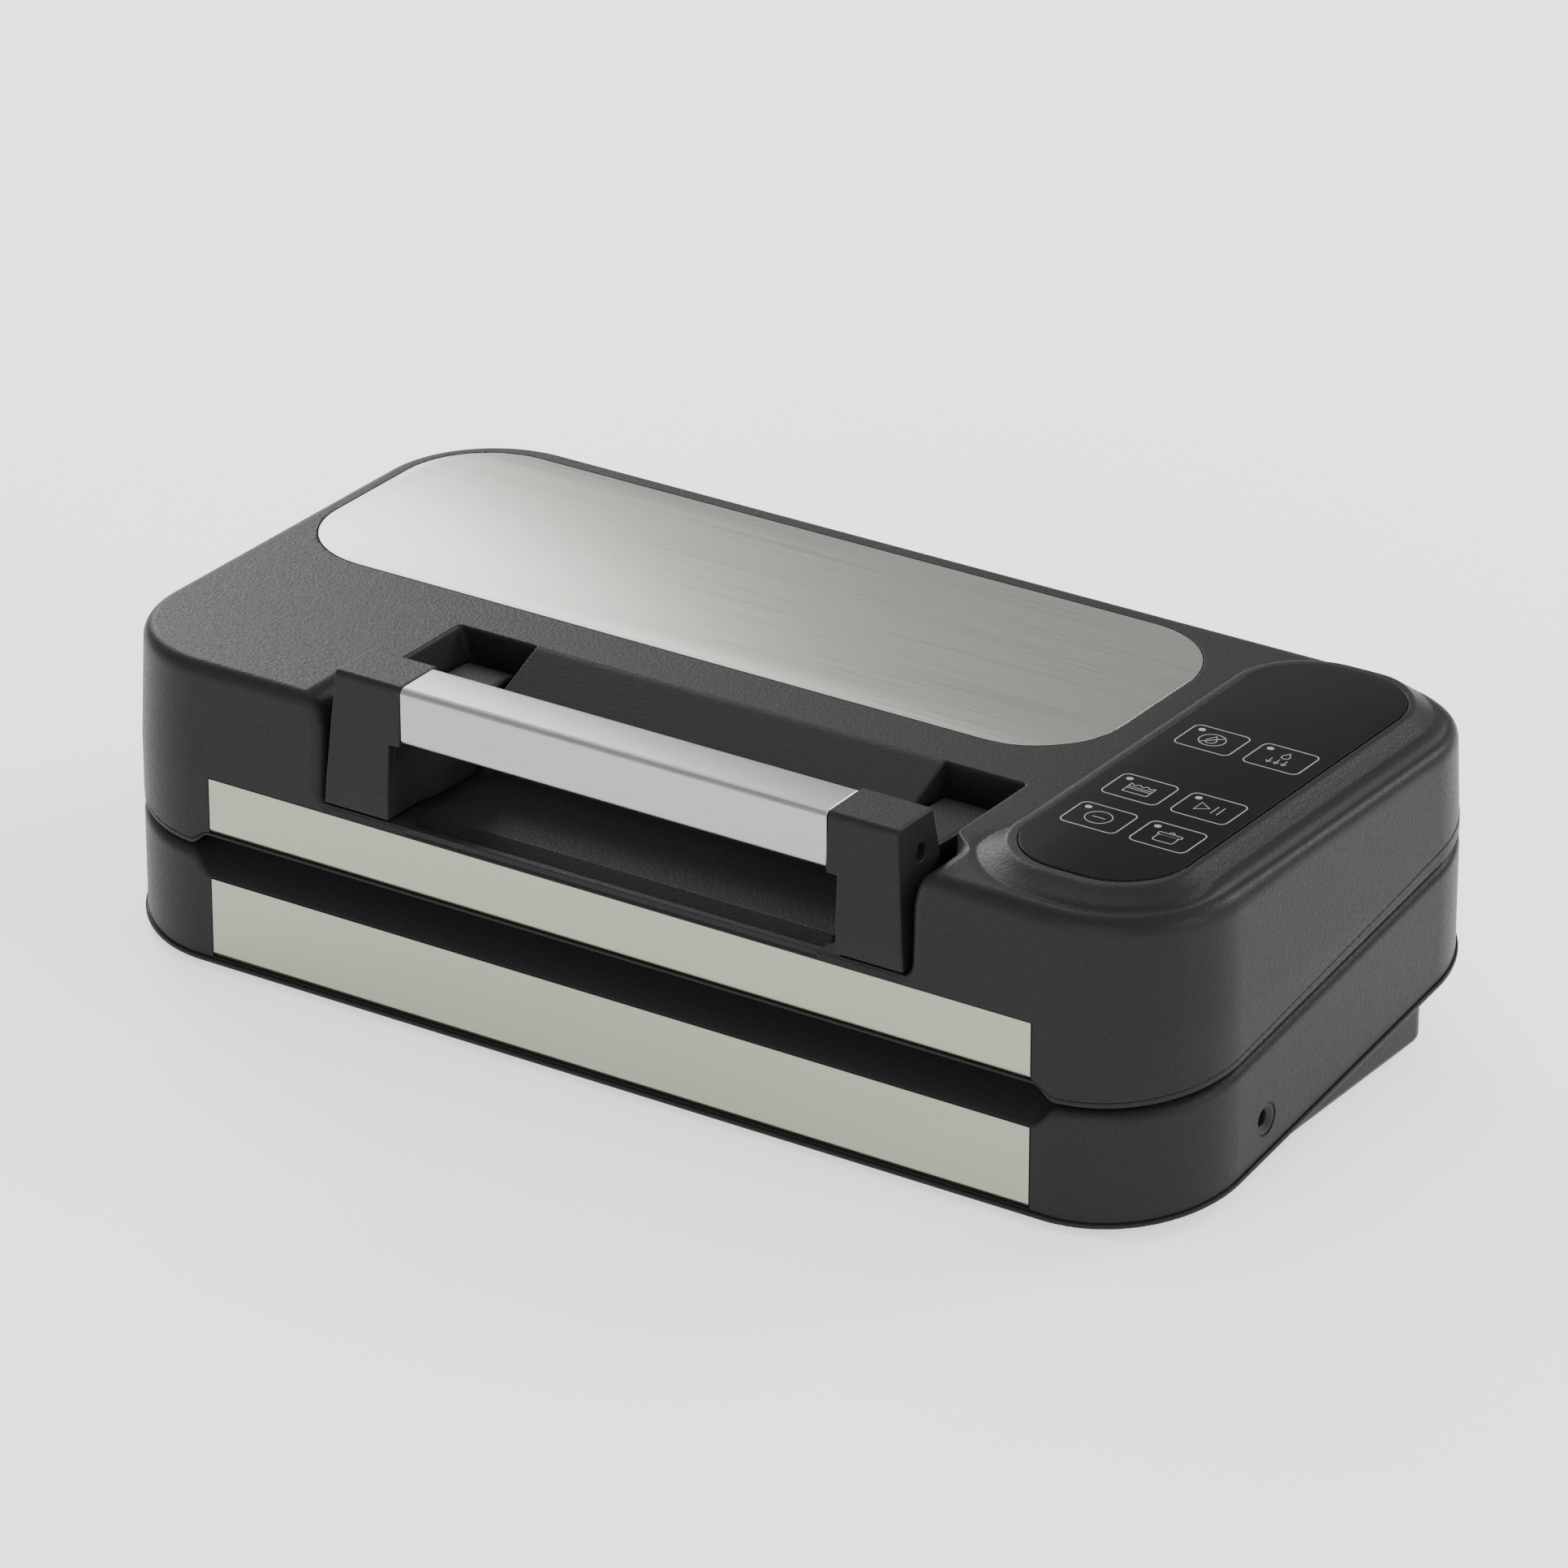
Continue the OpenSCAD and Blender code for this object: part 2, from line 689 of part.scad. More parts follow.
module heat_sink() {
    color(bar_grey) from_front() {
        block([-168, 108, board_top], [-165, 138, board_top + 24]);
        for (y = [108 : 5.6 : 136.2]) block([-165 - eps, y, board_top], [-157, y + 1.8, board_top + 24]);
    }
}

module lid_switch() {
    color(rubber_black) from_front() on_deck() translate([switch_spot[0], switch_spot[1], 0])
        difference() {
            block([-10, -4, -13], [10, 4, -wall]);
            block([-8, -2.6, -11], [8, 2.6, -4.2]);
            rod_z(-8, 1, 0, 0, 1.6);
        }
}

module switch_plunger() {
    color(silicone_red) from_front() on_deck() translate([switch_spot[0], switch_spot[1], 0]) {
        rod_z(-6.4, 1.4, 0, 0, 1.5);
        rod_z(-6.4, -4.8, 0, 0, 2.2);
    }
}

// ---------- lid ----------
lid_bosses = [for (x = [-184, 184], y = [30, 92, 158]) [x, y]];
lean_r = corner_r - wall_lean;
straight_z = up_trim_z1;
bay_half = 108;
bay_floor = 66.8;
bay_back = 50;
slot_floor = 68.6;
pocket_x0 = 75;
pocket_x1 = 104;
pocket_back = 70.2;
pocket_floor = 72;
block_top_y = 69.8;
block_edge = [55, 97];

// upright profile of a lid corner, from its axis outwards
function lid_profile(inset, top) = concat(
    [[0, 30], [corner_r - inset, 30], [corner_r - inset, straight_z]],
    [for (a = [0 : 15 : 90]) [lean_r - inset - top_round * (1 - cos(a)),
        top - top_round * (1 - sin(a))]],
    [[0, top]]);

module lid_body(inset, top) {
    hull() for (x = [-1, 1], y = [corner_r, body_d - corner_r])
        translate([x * (body_w / 2 - corner_r), y, 0])
            rotate_extrude($fn = hull_fn) polygon(lid_profile(inset, top));
}

module panel_outline(grow = 0) {
    translate([panel_x, panel_y]) rounded(panel_w + 2 * grow, panel_l + 2 * grow, panel_r + grow);
}

// open space taken out of the lid around the handle
module handle_space() {
    side_prism(pocket_x0 + eps, [[-1, bay_floor], [3, bay_floor], [12, 69.6], [44, 69.8],
        [48, 71.5], [bay_back, 76], [bay_back, 92], [52, 95.5], block_edge,
        [block_top_y, lid_top], [block_top_y, 120], [-1, 120]]);
    both_sides() {
        side_slab(pocket_x0, pocket_x1, [[-1, slot_floor], [45, slot_floor], [49, pocket_floor],
            [pocket_back, pocket_floor], [pocket_back, 120], [-1, 120]]);
        side_slab(pocket_x1 - eps, bay_half, [[-1, slot_floor], [28, slot_floor], [28, 120],
            [-1, 120]]);
    }
}

// the same space grown by the wall, to line it with a skin
module handle_space_skin() {
    outer = bay_half + wall;
    side_prism(outer, [[-1, bay_floor - wall], [3, bay_floor - wall], [6, slot_floor - wall],
        [46, slot_floor - wall], [bay_back + wall, 74], [bay_back + wall, inner_top + 1],
        [-1, inner_top + 1]]);
    both_sides() block([pocket_x0 - wall, 40, pocket_floor - wall],
        [pocket_x1 + wall, pocket_back + wall, inner_top + 1]);
    side_prism(pocket_x0, [[bay_back, 92], [block_top_y + 3, 92], [block_top_y + 3, inner_top + 1],
        [bay_back, inner_top + 1]]);
}

module lid_cover() {
    color(casing_grey) from_front() difference() {
        union() {
            difference() {
                lid_body(0, lid_top);
                lid_body(wall, inner_top);
            }
            intersection() {
                lid_body(0.4, inner_top + 0.4);
                union() {
                    handle_space_skin();
                    for (p = lid_bosses) rod_z(rim_at(p[1]), inner_top + 0.3, p[0], p[1], boss_r);
                    block([-trim_w / 2 - 2, 0, 40], [trim_w / 2 + 2, wall + trim_t, 70]);
                }
            }
            hull() {
                translate([0, 0, lid_top - 1]) linear_extrude(1) panel_outline(5.5);
                translate([0, 0, bed_top - 1]) linear_extrude(1) panel_outline(3.5);
            }
        }
        below(rim_front, rim_pitch);
        side_prism(mouth_w / 2 + 5, [[-1, 40], [14, 40], [14, up_trim_z0], [-1, up_trim_z0]]);
        handle_space();
        block([-trim_w / 2 - slack, -1, up_trim_z0 - slack],
            [trim_w / 2 + slack, trim_t, up_trim_z1 + slack]);
        translate([0, 0, lid_top - plate_t]) linear_extrude(5) plate_outline(0.25);
        translate([0, 0, bed_top - panel_t]) linear_extrude(5) panel_outline(0.1);
        translate([0, 0, 98]) linear_extrude(5) panel_outline(-3);
        translate([0, 0, 98]) linear_extrude(20) panel_outline(-6);
        rod_x(-hook_x1, hook_x1, pivot_y, pivot_z, shaft_r + 1);
        for (p = lid_bosses) rod_z(30, rim_at(p[1]) + 14, p[0], p[1], boss_hole);
    }
}

module plate_outline(grow = 0) {
    translate([(plate_x0 + plate_x1) / 2, (plate_y0 + plate_y1) / 2])
        rounded(plate_x1 - plate_x0 + 2 * grow, plate_y1 - plate_y0 + 2 * grow, plate_r + grow);
}

module liner_posts() {
    both_sides() side_slab(150, 158, [[pivot_y - 8, deck_at(pivot_y - 8) + lid_gap],
        [pivot_y + 8, deck_at(pivot_y + 8) + lid_gap], [pivot_y + 7, pivot_z + 7],
        [pivot_y - 7, pivot_z + 7]]);
}

module lid_liner() {
    color(inner_grey) from_front() difference() {
        union() {
            difference() {
                translate([0, 0, 30]) linear_extrude(60) outline();
                below(deck_front + lid_gap, deck_pitch);
                above(rim_front, rim_pitch);
                block([-mouth_w / 2 - 5, -1, 30], [mouth_w / 2 + 5, mouth_y + 2, 60]);
            }
            // raised lip over the bag mouth
            side_prism(mouth_w / 2 + 5 + eps, [[0, mouth_high], [mouth_y, deck_at(mouth_y) + lid_gap],
                [mouth_y + 2, deck_at(mouth_y + 2) + lid_gap], [mouth_y + 2, rim_at(mouth_y + 2)],
                [mouth_y, up_trim_z0], [0, up_trim_z0]]);
            on_deck() block([-160, 18.5, lid_gap], [160, 33.5, 8.5]);
            liner_posts();
            both_sides() {
                rod_x(lid_knuckle_x[0], lid_knuckle_x[1], hinge_y, hinge_z, knuckle_r);
                block([lid_knuckle_x[0], body_d - wall, hinge_z],
                    [lid_knuckle_x[1], hinge_y + knuckle_r - 1, hinge_z + 5]);
            }
        }
        on_deck() {
            block([-157.2, strip_y - 5.2, 0], [157.2, strip_y + 5.2, 6.5]);
            gasket_ring(0, lid_gap + 1.2, slack / 2);
            both_sides() block([hook_slot[0][0], hook_slot[0][1], 0],
                [hook_slot[1][0], hook_slot[1][1], 14]);
        }
        rod_x(-170, 170, pivot_y, pivot_z, shaft_r + running);
        both_sides() {
            rod_x(90, 140, hinge_y, hinge_z, pin_r + running);
            for (k = knuckle_x) block([k[0] - 0.4, body_d - wall - 1, 60],
                [k[1] + 0.4, body_d + 9, hinge_z + knuckle_r + 0.5]);
        }
        for (p = lid_bosses) {
            rod_z(30, 90, p[0], p[1], boss_hole + 0.4);
            rod_z(30, deck_at(p[1]) + lid_gap + 1.4, p[0], p[1], 3.4);
        }
    }
}

module top_plate() {
    color(steel_grey) from_front()
        translate([0, 0, lid_top - plate_t]) linear_extrude(plate_t) plate_outline();
}

module lid_trim() {
    color(steel_grey) from_front()
        block([-trim_w / 2, 0, up_trim_z0], [trim_w / 2, trim_t, up_trim_z1]);
}

key_spots = [for (x = [-12.4, 11.6], y = [16.6, -24.8, -48]) [panel_x + x, panel_y + y]];

module touch_panel() {
    color(glass_black) from_front()
        translate([0, 0, bed_top - panel_t]) linear_extrude(panel_t + 0.2) panel_outline();
}

panel_board_z = 98.6;

module panel_board() {
    color(board_green) from_front()
        translate([0, 0, panel_board_z]) linear_extrude(board_t) panel_outline(-6.5);
}

module touch_springs() {
    color(zinc) from_front() for (p = key_spots) translate([p[0], p[1], panel_board_z + board_t])
        ring_z(bed_top - panel_t - panel_board_z - board_t, 4, 3);
}

module key_lamps() {
    color(clear_white) from_front() for (p = key_spots)
        translate([p[0] - 6.5, p[1] + 4.6, panel_board_z + board_t])
            cylinder(h = bed_top - panel_t - panel_board_z - board_t, r = 1.2);
}

module upper_gasket() {
    color(rubber_black) from_front() on_deck() gasket_ring(1.15, lid_gap + 1.2);
}

module pressure_strip() {
    color(silicone_red) from_front() on_deck()
        block([-157, strip_y - 5, 0.8], [157, strip_y + 5, 6.5]);
}

module lid_screws() {
    color(zinc) from_front() for (p = lid_bosses) {
        seat = deck_at(p[1]) + lid_gap + 1.4;
        rod_z(seat - 1.1, seat, p[0], p[1], 3);
        rod_z(seat - eps, seat + 13, p[0], p[1], boss_hole);
    }
}

// ---------- handle ----------
bar_y0 = 1.6;
bar_y1 = bar_y0 + bar_d;
bar_half = bar_w / 2;
bar_wall = 1.8;
tenon = 12;
lever_in = 78.4;
lever_out = 97;
hub_r = 9;
screw_y = 13.6;
screw_z = 103.2;
screw_r = 1.55;
screw_head_r = 2.7;

// bar section with rounded long edges, in the [y, z] plane
module bar_section(inset) {
    r = 2.6 - inset / 2;
    w = bar_d - 2 * inset;
    h = bar_z1 - bar_z0 - 2 * inset;
    translate([(bar_y0 + bar_y1) / 2, (bar_z0 + bar_z1) / 2]) rounded(w, h, r);
}

module sweep_x(x0, x1) {
    translate([x0, 0, 0]) rotate([90, 0, 90]) linear_extrude(x1 - x0) children();
}

module handle_bar() {
    color(bar_grey) from_front() difference() {
        sweep_x(-bar_half, bar_half) bar_section(0);
        sweep_x(-bar_half - 1, bar_half + 1) bar_section(bar_wall);
    }
}

arm_front = [[0, arm_z0], [0, 80], [2, 111.6], [2.8, 113.4], [4.6, bar_z1 - 0.2],
    [19.5, bar_z1 - 0.2], [21.4, 112.4], [24, 98], [21, 96], [18, 92], [16, arm_z0]];
arm_lever = [[0, arm_z0], [0, 80], [1, 95], [34, 96.9], [62, 95.2], [65, 93.2], [66, 90],
    [66, 82], [63, 77.8], [pivot_y, 76.4], [46, 73], [40, arm_z0]];

module arm() {
    difference() {
        union() {
            // front block, with its outer face leaning in towards the top
            difference() {
                side_slab(arm_in, arm_out, arm_front);
                translate([arm_out, 0, arm_z0]) rotate([0, -4.4, 0])
                    block([0, -20, -20], [30, 80, 80]);
            }
            intersection() {
                side_slab(bar_half, arm_in + eps, arm_front);
                block([0, -1, bar_z0 - 1.2], [200, 80, 200]);
            }
            side_slab(arm_in, lever_out, arm_lever);
            intersection() {
                side_slab(lever_in, arm_in + eps, arm_lever);
                block([0, 22, 84], [200, 80, 200]);
            }
            rod_x(lever_in, lever_out, pivot_y, pivot_z, hub_r);
            sweep_x(bar_half - tenon, bar_half + eps) bar_section(bar_wall + slack);
        }
        // hollow inside the block and the lever, open towards the lid
        side_slab(arm_in + wall, lever_out - wall, [[wall, arm_z0 - 1], [wall, 84], [18, 90],
            [36, 90], [42, 84], [38, arm_z0 - 1]]);
        rod_x(bar_half - tenon - 1, arm_out + 1, screw_y, screw_z, screw_r + 0.05);
        rod_x(arm_out - 7, arm_out + 1, screw_y, screw_z, screw_head_r + 0.05);
        rod_x(lever_in - 1, lever_out + 1, pivot_y, pivot_z, shaft_r);
    }
}

module handle_arm_left() {
    color(casing_grey) from_front() mirror([1, 0, 0]) arm();
}

module handle_arm_right() {
    color(casing_grey) from_front() arm();
}

module arm_screws() {
    color(zinc) from_front() both_sides() {
        rod_x(bar_half - 8, arm_out - 7, screw_y, screw_z, screw_r);
        rod_x(arm_out - 7, arm_out - 5, screw_y, screw_z, screw_head_r);
    }
}

module latch_shaft() {
    color(zinc) from_front() rod_x(-hook_x1 - 1, hook_x1 + 1, pivot_y, pivot_z, shaft_r);
}

module latch_hooks() {
    color(zinc) from_front() both_sides() difference() {
        union() {
            rod_x(hook_x0, hook_x1, pivot_y, pivot_z, 7);
            side_slab(hook_x0, hook_x1, [[pivot_y - 3, pivot_z], [pivot_y - 3, 41.5], [61.5, 41.5],
                [62.6, 43], [60, 46], [pivot_y + 3, pivot_z]]);
        }
        rod_x(hook_x0 - 1, hook_x1 + 1, pivot_y, pivot_z, shaft_r);
    }
}

base_shell();
bottom_cover();
base_trim();
rubber_feet();
bottom_screws();
heater_bar();
heating_strip();
ptfe_tape();
heater_terminals();
drip_tray();
lower_gasket();
suction_nozzle();
latch_catches();
hinge_pins();
hose_port();
port_tube();
suction_tube();
release_valve();
pump_frame();
pump_head();
pump_rod();
pump_grommets();
motor_can();
motor_magnets();
motor_shaft();
motor_armature();
crank();
power_inlet();
inlet_pins();
power_board();
transformer();
capacitors();
relay();
heat_sink();
board_screws();
lid_switch();
switch_plunger();
lid_cover();
lid_liner();
top_plate();
lid_trim();
touch_panel();
panel_board();
touch_springs();
key_lamps();
upper_gasket();
pressure_strip();
lid_screws();
handle_bar();
handle_arm_left();
handle_arm_right();
arm_screws();
latch_shaft();
latch_hooks();
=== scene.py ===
# Countertop vacuum sealer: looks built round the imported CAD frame.
# Shapes are written in millimetres with y measured back from the front face, then placed in metres.
import math

import bpy
import numpy as np
import openvdb as vdb
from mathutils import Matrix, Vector


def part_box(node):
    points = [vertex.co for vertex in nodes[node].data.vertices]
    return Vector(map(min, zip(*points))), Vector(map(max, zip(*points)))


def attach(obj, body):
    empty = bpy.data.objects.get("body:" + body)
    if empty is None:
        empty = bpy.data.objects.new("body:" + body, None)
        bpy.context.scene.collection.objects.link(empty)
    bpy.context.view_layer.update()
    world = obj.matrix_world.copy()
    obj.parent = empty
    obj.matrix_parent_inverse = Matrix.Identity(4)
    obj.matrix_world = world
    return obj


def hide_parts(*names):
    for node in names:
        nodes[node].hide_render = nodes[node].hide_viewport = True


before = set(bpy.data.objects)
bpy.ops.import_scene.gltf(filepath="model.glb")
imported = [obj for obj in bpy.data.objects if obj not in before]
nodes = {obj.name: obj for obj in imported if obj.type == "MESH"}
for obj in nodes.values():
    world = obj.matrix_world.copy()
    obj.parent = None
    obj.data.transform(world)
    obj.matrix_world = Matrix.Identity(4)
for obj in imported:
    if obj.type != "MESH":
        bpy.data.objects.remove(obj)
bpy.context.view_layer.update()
scene = bpy.context.scene

# ---------------------------------------------------------------- camera
camera_data = bpy.data.cameras.new("camera")
camera_data.lens = 202.75
camera_data.sensor_width = 36
camera_data.clip_end = 20
camera = bpy.data.objects.new("camera", camera_data)
scene.collection.objects.link(camera)
camera.location = (1.3650, -2.0519, 1.2331)
turn, drop = math.radians(33.72), math.radians(25.39)
heading = Vector((-math.sin(turn) * math.cos(drop), math.cos(turn) * math.cos(drop), -math.sin(drop)))
camera.rotation_euler = heading.to_track_quat("-Z", "Y").to_euler()
scene.camera = camera

# ---------------------------------------------------------------- dimensions
MM = 0.001
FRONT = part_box("base_trim")[0][1]          # the front face, in metres
BODY_W, BODY_D, CORNER = 197.0, 200.0, 42.0  # half width, depth, corner radius
LID_TOP = 103.4
DECK_Z, DECK = 39.8, math.tan(math.radians(8.8))
DECK_COS = math.cos(math.radians(8.8))
RIM_Z, RIM = 43.6, math.tan(math.radians(9.76))
FLANGE_Z, FLANGE = 4.0, math.tan(math.radians(8.0))
FLANGE_COS = math.cos(math.radians(8.0))
PIVOT_Y, PIVOT_Z = 57.0, 86.0              # the shaft that the handle turns on
HINGE_Y, HINGE_Z = 201.0, DECK_Z + 1 + 200 * DECK
PANEL = (149.5, 103.5, 27.0, 83.5, 22.0)   # middle, half sizes, corner
PLATE = (-41.3, 140.0, 147.3, 50.2, 31.0)
BED_TOP, PANEL_TOP = 107.0, 107.2
WALL = 2.5
GRIP_HALF = 77.3                           # half the bar's length
TRIM_HALF, TRIM_THICK, TRIM_ROLL, TRIM_GAP = 150.0, 0.8, 1.9, 0.06
BASE_TRIM, LID_TRIM = (4.8, 31.6), (47.3, 65.9)   # lowest and highest z of each trim
MOUTH_TOP = 47.2                           # upper edge of the parting gap in front
LID_BOSSES = ((184, 30), (184, 92), (184, 158))
BASE_BOSSES = ((178, 26), (178, 92), (178, 150))
FEET_X, FEET_Y = 158, (32, 152)
KNUCKLES, KNUCKLE_W, KNUCKLE_R = (100, 120), 10, 3.6
HOSE_PORT = (57, 23.2)                     # y, z of the port in the right side


# ---------------------------------------------------------------- distance-field tools
def ramp(a, b, v):
    """0 at a, 1 at b, with soft ends; b may be below a."""
    t = np.clip((v - a) / (b - a), 0, 1)
    return t * t * (3 - 2 * t)


def both(a, b, r=0.0):
    """Overlap of two solids, its edge rounded to radius r."""
    if isinstance(r, float) and r == 0.0:
        return np.maximum(a, b)
    return np.minimum(np.maximum(a, b), -r) + np.hypot(np.maximum(a + r, 0), np.maximum(b + r, 0))


def either(a, b, r=0.0):
    """Union of two solids, its inner corner filled to radius r."""
    return -both(-a, -b, r)


def less(a, b, r=0.0):
    """First solid with the second cut out of it."""
    return both(a, -b, r)


def rect(u, v, half_u, half_v, r):
    qu, qv = np.abs(u) - half_u + r, np.abs(v) - half_v + r
    return np.minimum(np.maximum(qu, qv), 0) + np.hypot(np.maximum(qu, 0), np.maximum(qv, 0)) - r


def slab(v, low, high):
    return np.abs(v - (low + high) / 2) - (high - low) / 2


def box(x, y, z, low, high, r=0.0):
    return both(both(slab(x, low[0], high[0]), slab(y, low[1], high[1]), r), slab(z, low[2], high[2]), r)


def tube(u, v, r):
    return np.hypot(u, v) - r


def deck_frame(y, z):
    """Distance up the deck from its front edge, and height square to it."""
    dz = z - DECK_Z
    return y * DECK_COS + dz * math.sin(math.radians(8.8)), dz * DECK_COS - y * math.sin(math.radians(8.8))


# ---------------------------------------------------------------- meshing
BLOCK = 8                                  # samples along a block's edge
FLATNESS = 0.004                           # how far flat areas may merge into larger faces
PROBE = 0.04                               # half the distance that a slope is measured over


def field_surface(f, low, high, step):
    """Points, normals and faces of f = 0; only blocks near the surface are sampled."""
    low = np.array(low, float) - 2 * step
    count = np.ceil((np.array(high) + 2 * step - low) / step / BLOCK).astype(int)
    edge = BLOCK * step
    centres = [low[i] + (np.arange(count[i]) + 0.5) * edge - step / 2 for i in range(3)]
    coarse = f(centres[0][:, None, None], centres[1][None, :, None], centres[2][None, None, :])
    coarse = np.broadcast_to(coarse, tuple(count)).astype(np.float32)
    band = 3 * step
    cells = np.empty(tuple(count) + (BLOCK,) * 3, np.float32)
    cells[...] = np.clip(coarse, -band, band)[..., None, None, None]
    near = np.argwhere(np.abs(coarse) < edge * 1.6)
    offset = (np.arange(BLOCK) - (BLOCK - 1) / 2) * step
    for start in range(0, len(near), 1500):
        part = near[start:start + 1500]
        xyz = [centres[i][part[:, i]][:, None] + offset for i in range(3)]
        value = f(xyz[0][:, :, None, None], xyz[1][:, None, :, None], xyz[2][:, None, None, :])
        cells[part[:, 0], part[:, 1], part[:, 2]] = np.clip(value, -band, band)
    values = cells.transpose(0, 3, 1, 4, 2, 5).reshape(tuple(count * BLOCK))
    grid = vdb.FloatGrid()
    grid.background = band
    grid.copyFromArray(np.ascontiguousarray(values))
    points, tris, quads = grid.convertToPolygons(isovalue=0.0, adaptivity=FLATNESS)
    points = low + np.asarray(points, float) * step

    def slope(p):
        return np.stack([(f(*(p + d).T) - f(*(p - d).T)) / (2 * PROBE) for d in np.eye(3) * PROBE], 1)

    for _ in range(4):
        g = slope(points)
        move = f(*points.T)[:, None] * g / np.maximum((g * g).sum(1, keepdims=True), 0.05)
        length = np.linalg.norm(move, axis=1, keepdims=True)
        points = points - move * np.minimum(1, 0.4 * step / np.maximum(length, 1e-9))
    g = slope(points)
    normals = g / np.maximum(np.linalg.norm(g, axis=1, keepdims=True), 1e-9)
    return points, normals, np.asarray(tris, int), np.asarray(quads, int)


def place(points):
    """Millimetres from the front face to metres in the shared frame."""
    out = np.array(points, float) * MM
    out[:, 1] += FRONT
    return out


def mesh_from(name, points, tris, quads, normals=None):
    mesh = bpy.data.meshes.new(name)
    points = place(points)
    tris = np.asarray(tris, int).reshape(-1, 3)
    quads = np.asarray(quads, int).reshape(-1, 4)
    mesh.vertices.add(len(points))
    mesh.vertices.foreach_set("co", points.ravel())
    loops = np.concatenate([tris.ravel(), quads.ravel()])
    mesh.loops.add(len(loops))
    mesh.loops.foreach_set("vertex_index", loops)
    starts = np.concatenate([np.arange(len(tris)) * 3, len(tris) * 3 + np.arange(len(quads)) * 4])
    mesh.polygons.add(len(starts))
    mesh.polygons.foreach_set("loop_start", starts)
    mesh.update(calc_edges=True)
    mesh.validate()
    mesh.polygons.foreach_set("use_smooth", np.ones(len(mesh.polygons), bool))
    if normals is not None and len(mesh.vertices) == len(normals):
        mesh.normals_split_custom_set_from_vertices(normals.tolist())
    return mesh


def add_piece(name, mesh, material, body, slot_name, *stands_for):
    piece = bpy.data.objects.new(name, mesh)
    scene.collection.objects.link(piece)
    mesh.materials.clear()
    mesh.materials.append(material)
    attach(piece, body)
    if stands_for:
        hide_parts(*stands_for)
    return piece


def field_piece(name, f, low, high, material, body, slot_name, *stands_for, step=0.5):
    """A shell meshed from the field f, its faces turned to match the field's outward normals."""
    points, normals, tris, quads = field_surface(f, low, high, step)
    if len(quads):
        a, b, c = (points[quads[:400, i]] for i in (0, 1, 2))
        facing = np.einsum("ij,ij->i", np.cross(b - a, c - a), normals[quads[:400, 0]])
        if np.median(facing) < 0:
            tris, quads = tris[:, ::-1], quads[:, ::-1]
    return add_piece(name, mesh_from(name, points, tris, quads, normals), material, body, slot_name,
                     *stands_for)


# ---------------------------------------------------------------- materials
def colour(text):
    """Linear colour from an sRGB hex string."""
    out = []
    for i in (0, 2, 4):
        v = int(text[i:i + 2], 16) / 255
        out.append(v / 12.92 if v < 0.04045 else ((v + 0.055) / 1.055) ** 2.4)
    return (*out, 1)


class Finish:
    """A node material on Principled BSDF, fed from object coordinates."""

    def __init__(self, name, **sockets):
        self.material = bpy.data.materials.new(name)
        self.material.use_nodes = True
        self.tree = self.material.node_tree
        self.shader = self.tree.nodes["Principled BSDF"]
        for key, value in sockets.items():
            self.shader.inputs[key.replace("_", " ")].default_value = value
        self.coords = self.tree.nodes.new("ShaderNodeTexCoord").outputs["Object"]

    def link(self, a, b):
        self.tree.links.new(a, b)

    def stretched(self, scale):
        node = self.tree.nodes.new("ShaderNodeMapping")
        node.inputs["Scale"].default_value = scale
        self.link(self.coords, node.inputs["Vector"])
        return node.outputs["Vector"]

    def noise(self, scale, detail=3.0, rough=0.5, vector=None):
        node = self.tree.nodes.new("ShaderNodeTexNoise")
        node.inputs["Scale"].default_value = scale
        node.inputs["Detail"].default_value = detail
        node.inputs["Roughness"].default_value = rough
        self.link(vector or self.coords, node.inputs["Vector"])
        return node.outputs["Fac"]

    def cells(self, scale):
        node = self.tree.nodes.new("ShaderNodeTexVoronoi")
        node.feature = "SMOOTH_F1"
        node.inputs["Scale"].default_value = scale
        self.link(self.coords, node.inputs["Vector"])
        return node.outputs["Distance"]

    def paint(self, fac, *stops):
        """Base colour from a ramp of (position, colour) stops."""
        node = self.tree.nodes.new("ShaderNodeValToRGB")
        band = node.color_ramp
        while len(band.elements) < len(stops):
            band.elements.new(0.5)
        for element, (position, shade) in zip(band.elements, stops):
            element.position = position
            element.color = shade
        self.link(fac, node.inputs["Fac"])
        self.link(node.outputs["Color"], self.shader.inputs["Base Color"])

    def spread(self, fac, low, high):
        """Roughness between low and high, following fac."""
        node = self.tree.nodes.new("ShaderNodeMapRange")
        node.inputs["From Min"].default_value = 0.3
        node.inputs["From Max"].default_value = 0.7
        node.inputs["To Min"].default_value = low
        node.inputs["To Max"].default_value = high
        self.link(fac, node.inputs["Value"])
        self.link(node.outputs["Result"], self.shader.inputs["Roughness"])

    def bump(self, height, strength, distance, below=None):
        node = self.tree.nodes.new("ShaderNodeBump")
        node.inputs["Strength"].default_value = strength
        node.inputs["Distance"].default_value = distance
        self.link(height, node.inputs["Height"])
        if below is not None:
            self.link(below, node.inputs["Normal"])
        self.link(node.outputs["Normal"], self.shader.inputs["Normal"])
        return node.outputs["Normal"]


PIT_DEPTH, SCRATCH_DEPTH = 0.00012, 0.00003   # in metres


def moulded(name, dark, light, rough=(0.36, 0.48), grain=1500, strength=0.45):
    """Spark-textured moulded plastic: fine pits over a slight mottle."""
    f = Finish(name, IOR=1.46, Specular_IOR_Level=0.12)
    f.paint(f.noise(1500, 4), (0.35, colour(dark)), (0.65, colour(light)))
    f.spread(f.noise(1100, 3), *rough)
    under = f.bump(f.noise(grain * 0.55, 2), strength, PIT_DEPTH * 1.4)
    f.bump(f.cells(grain), strength, PIT_DEPTH, under)
    return f.material


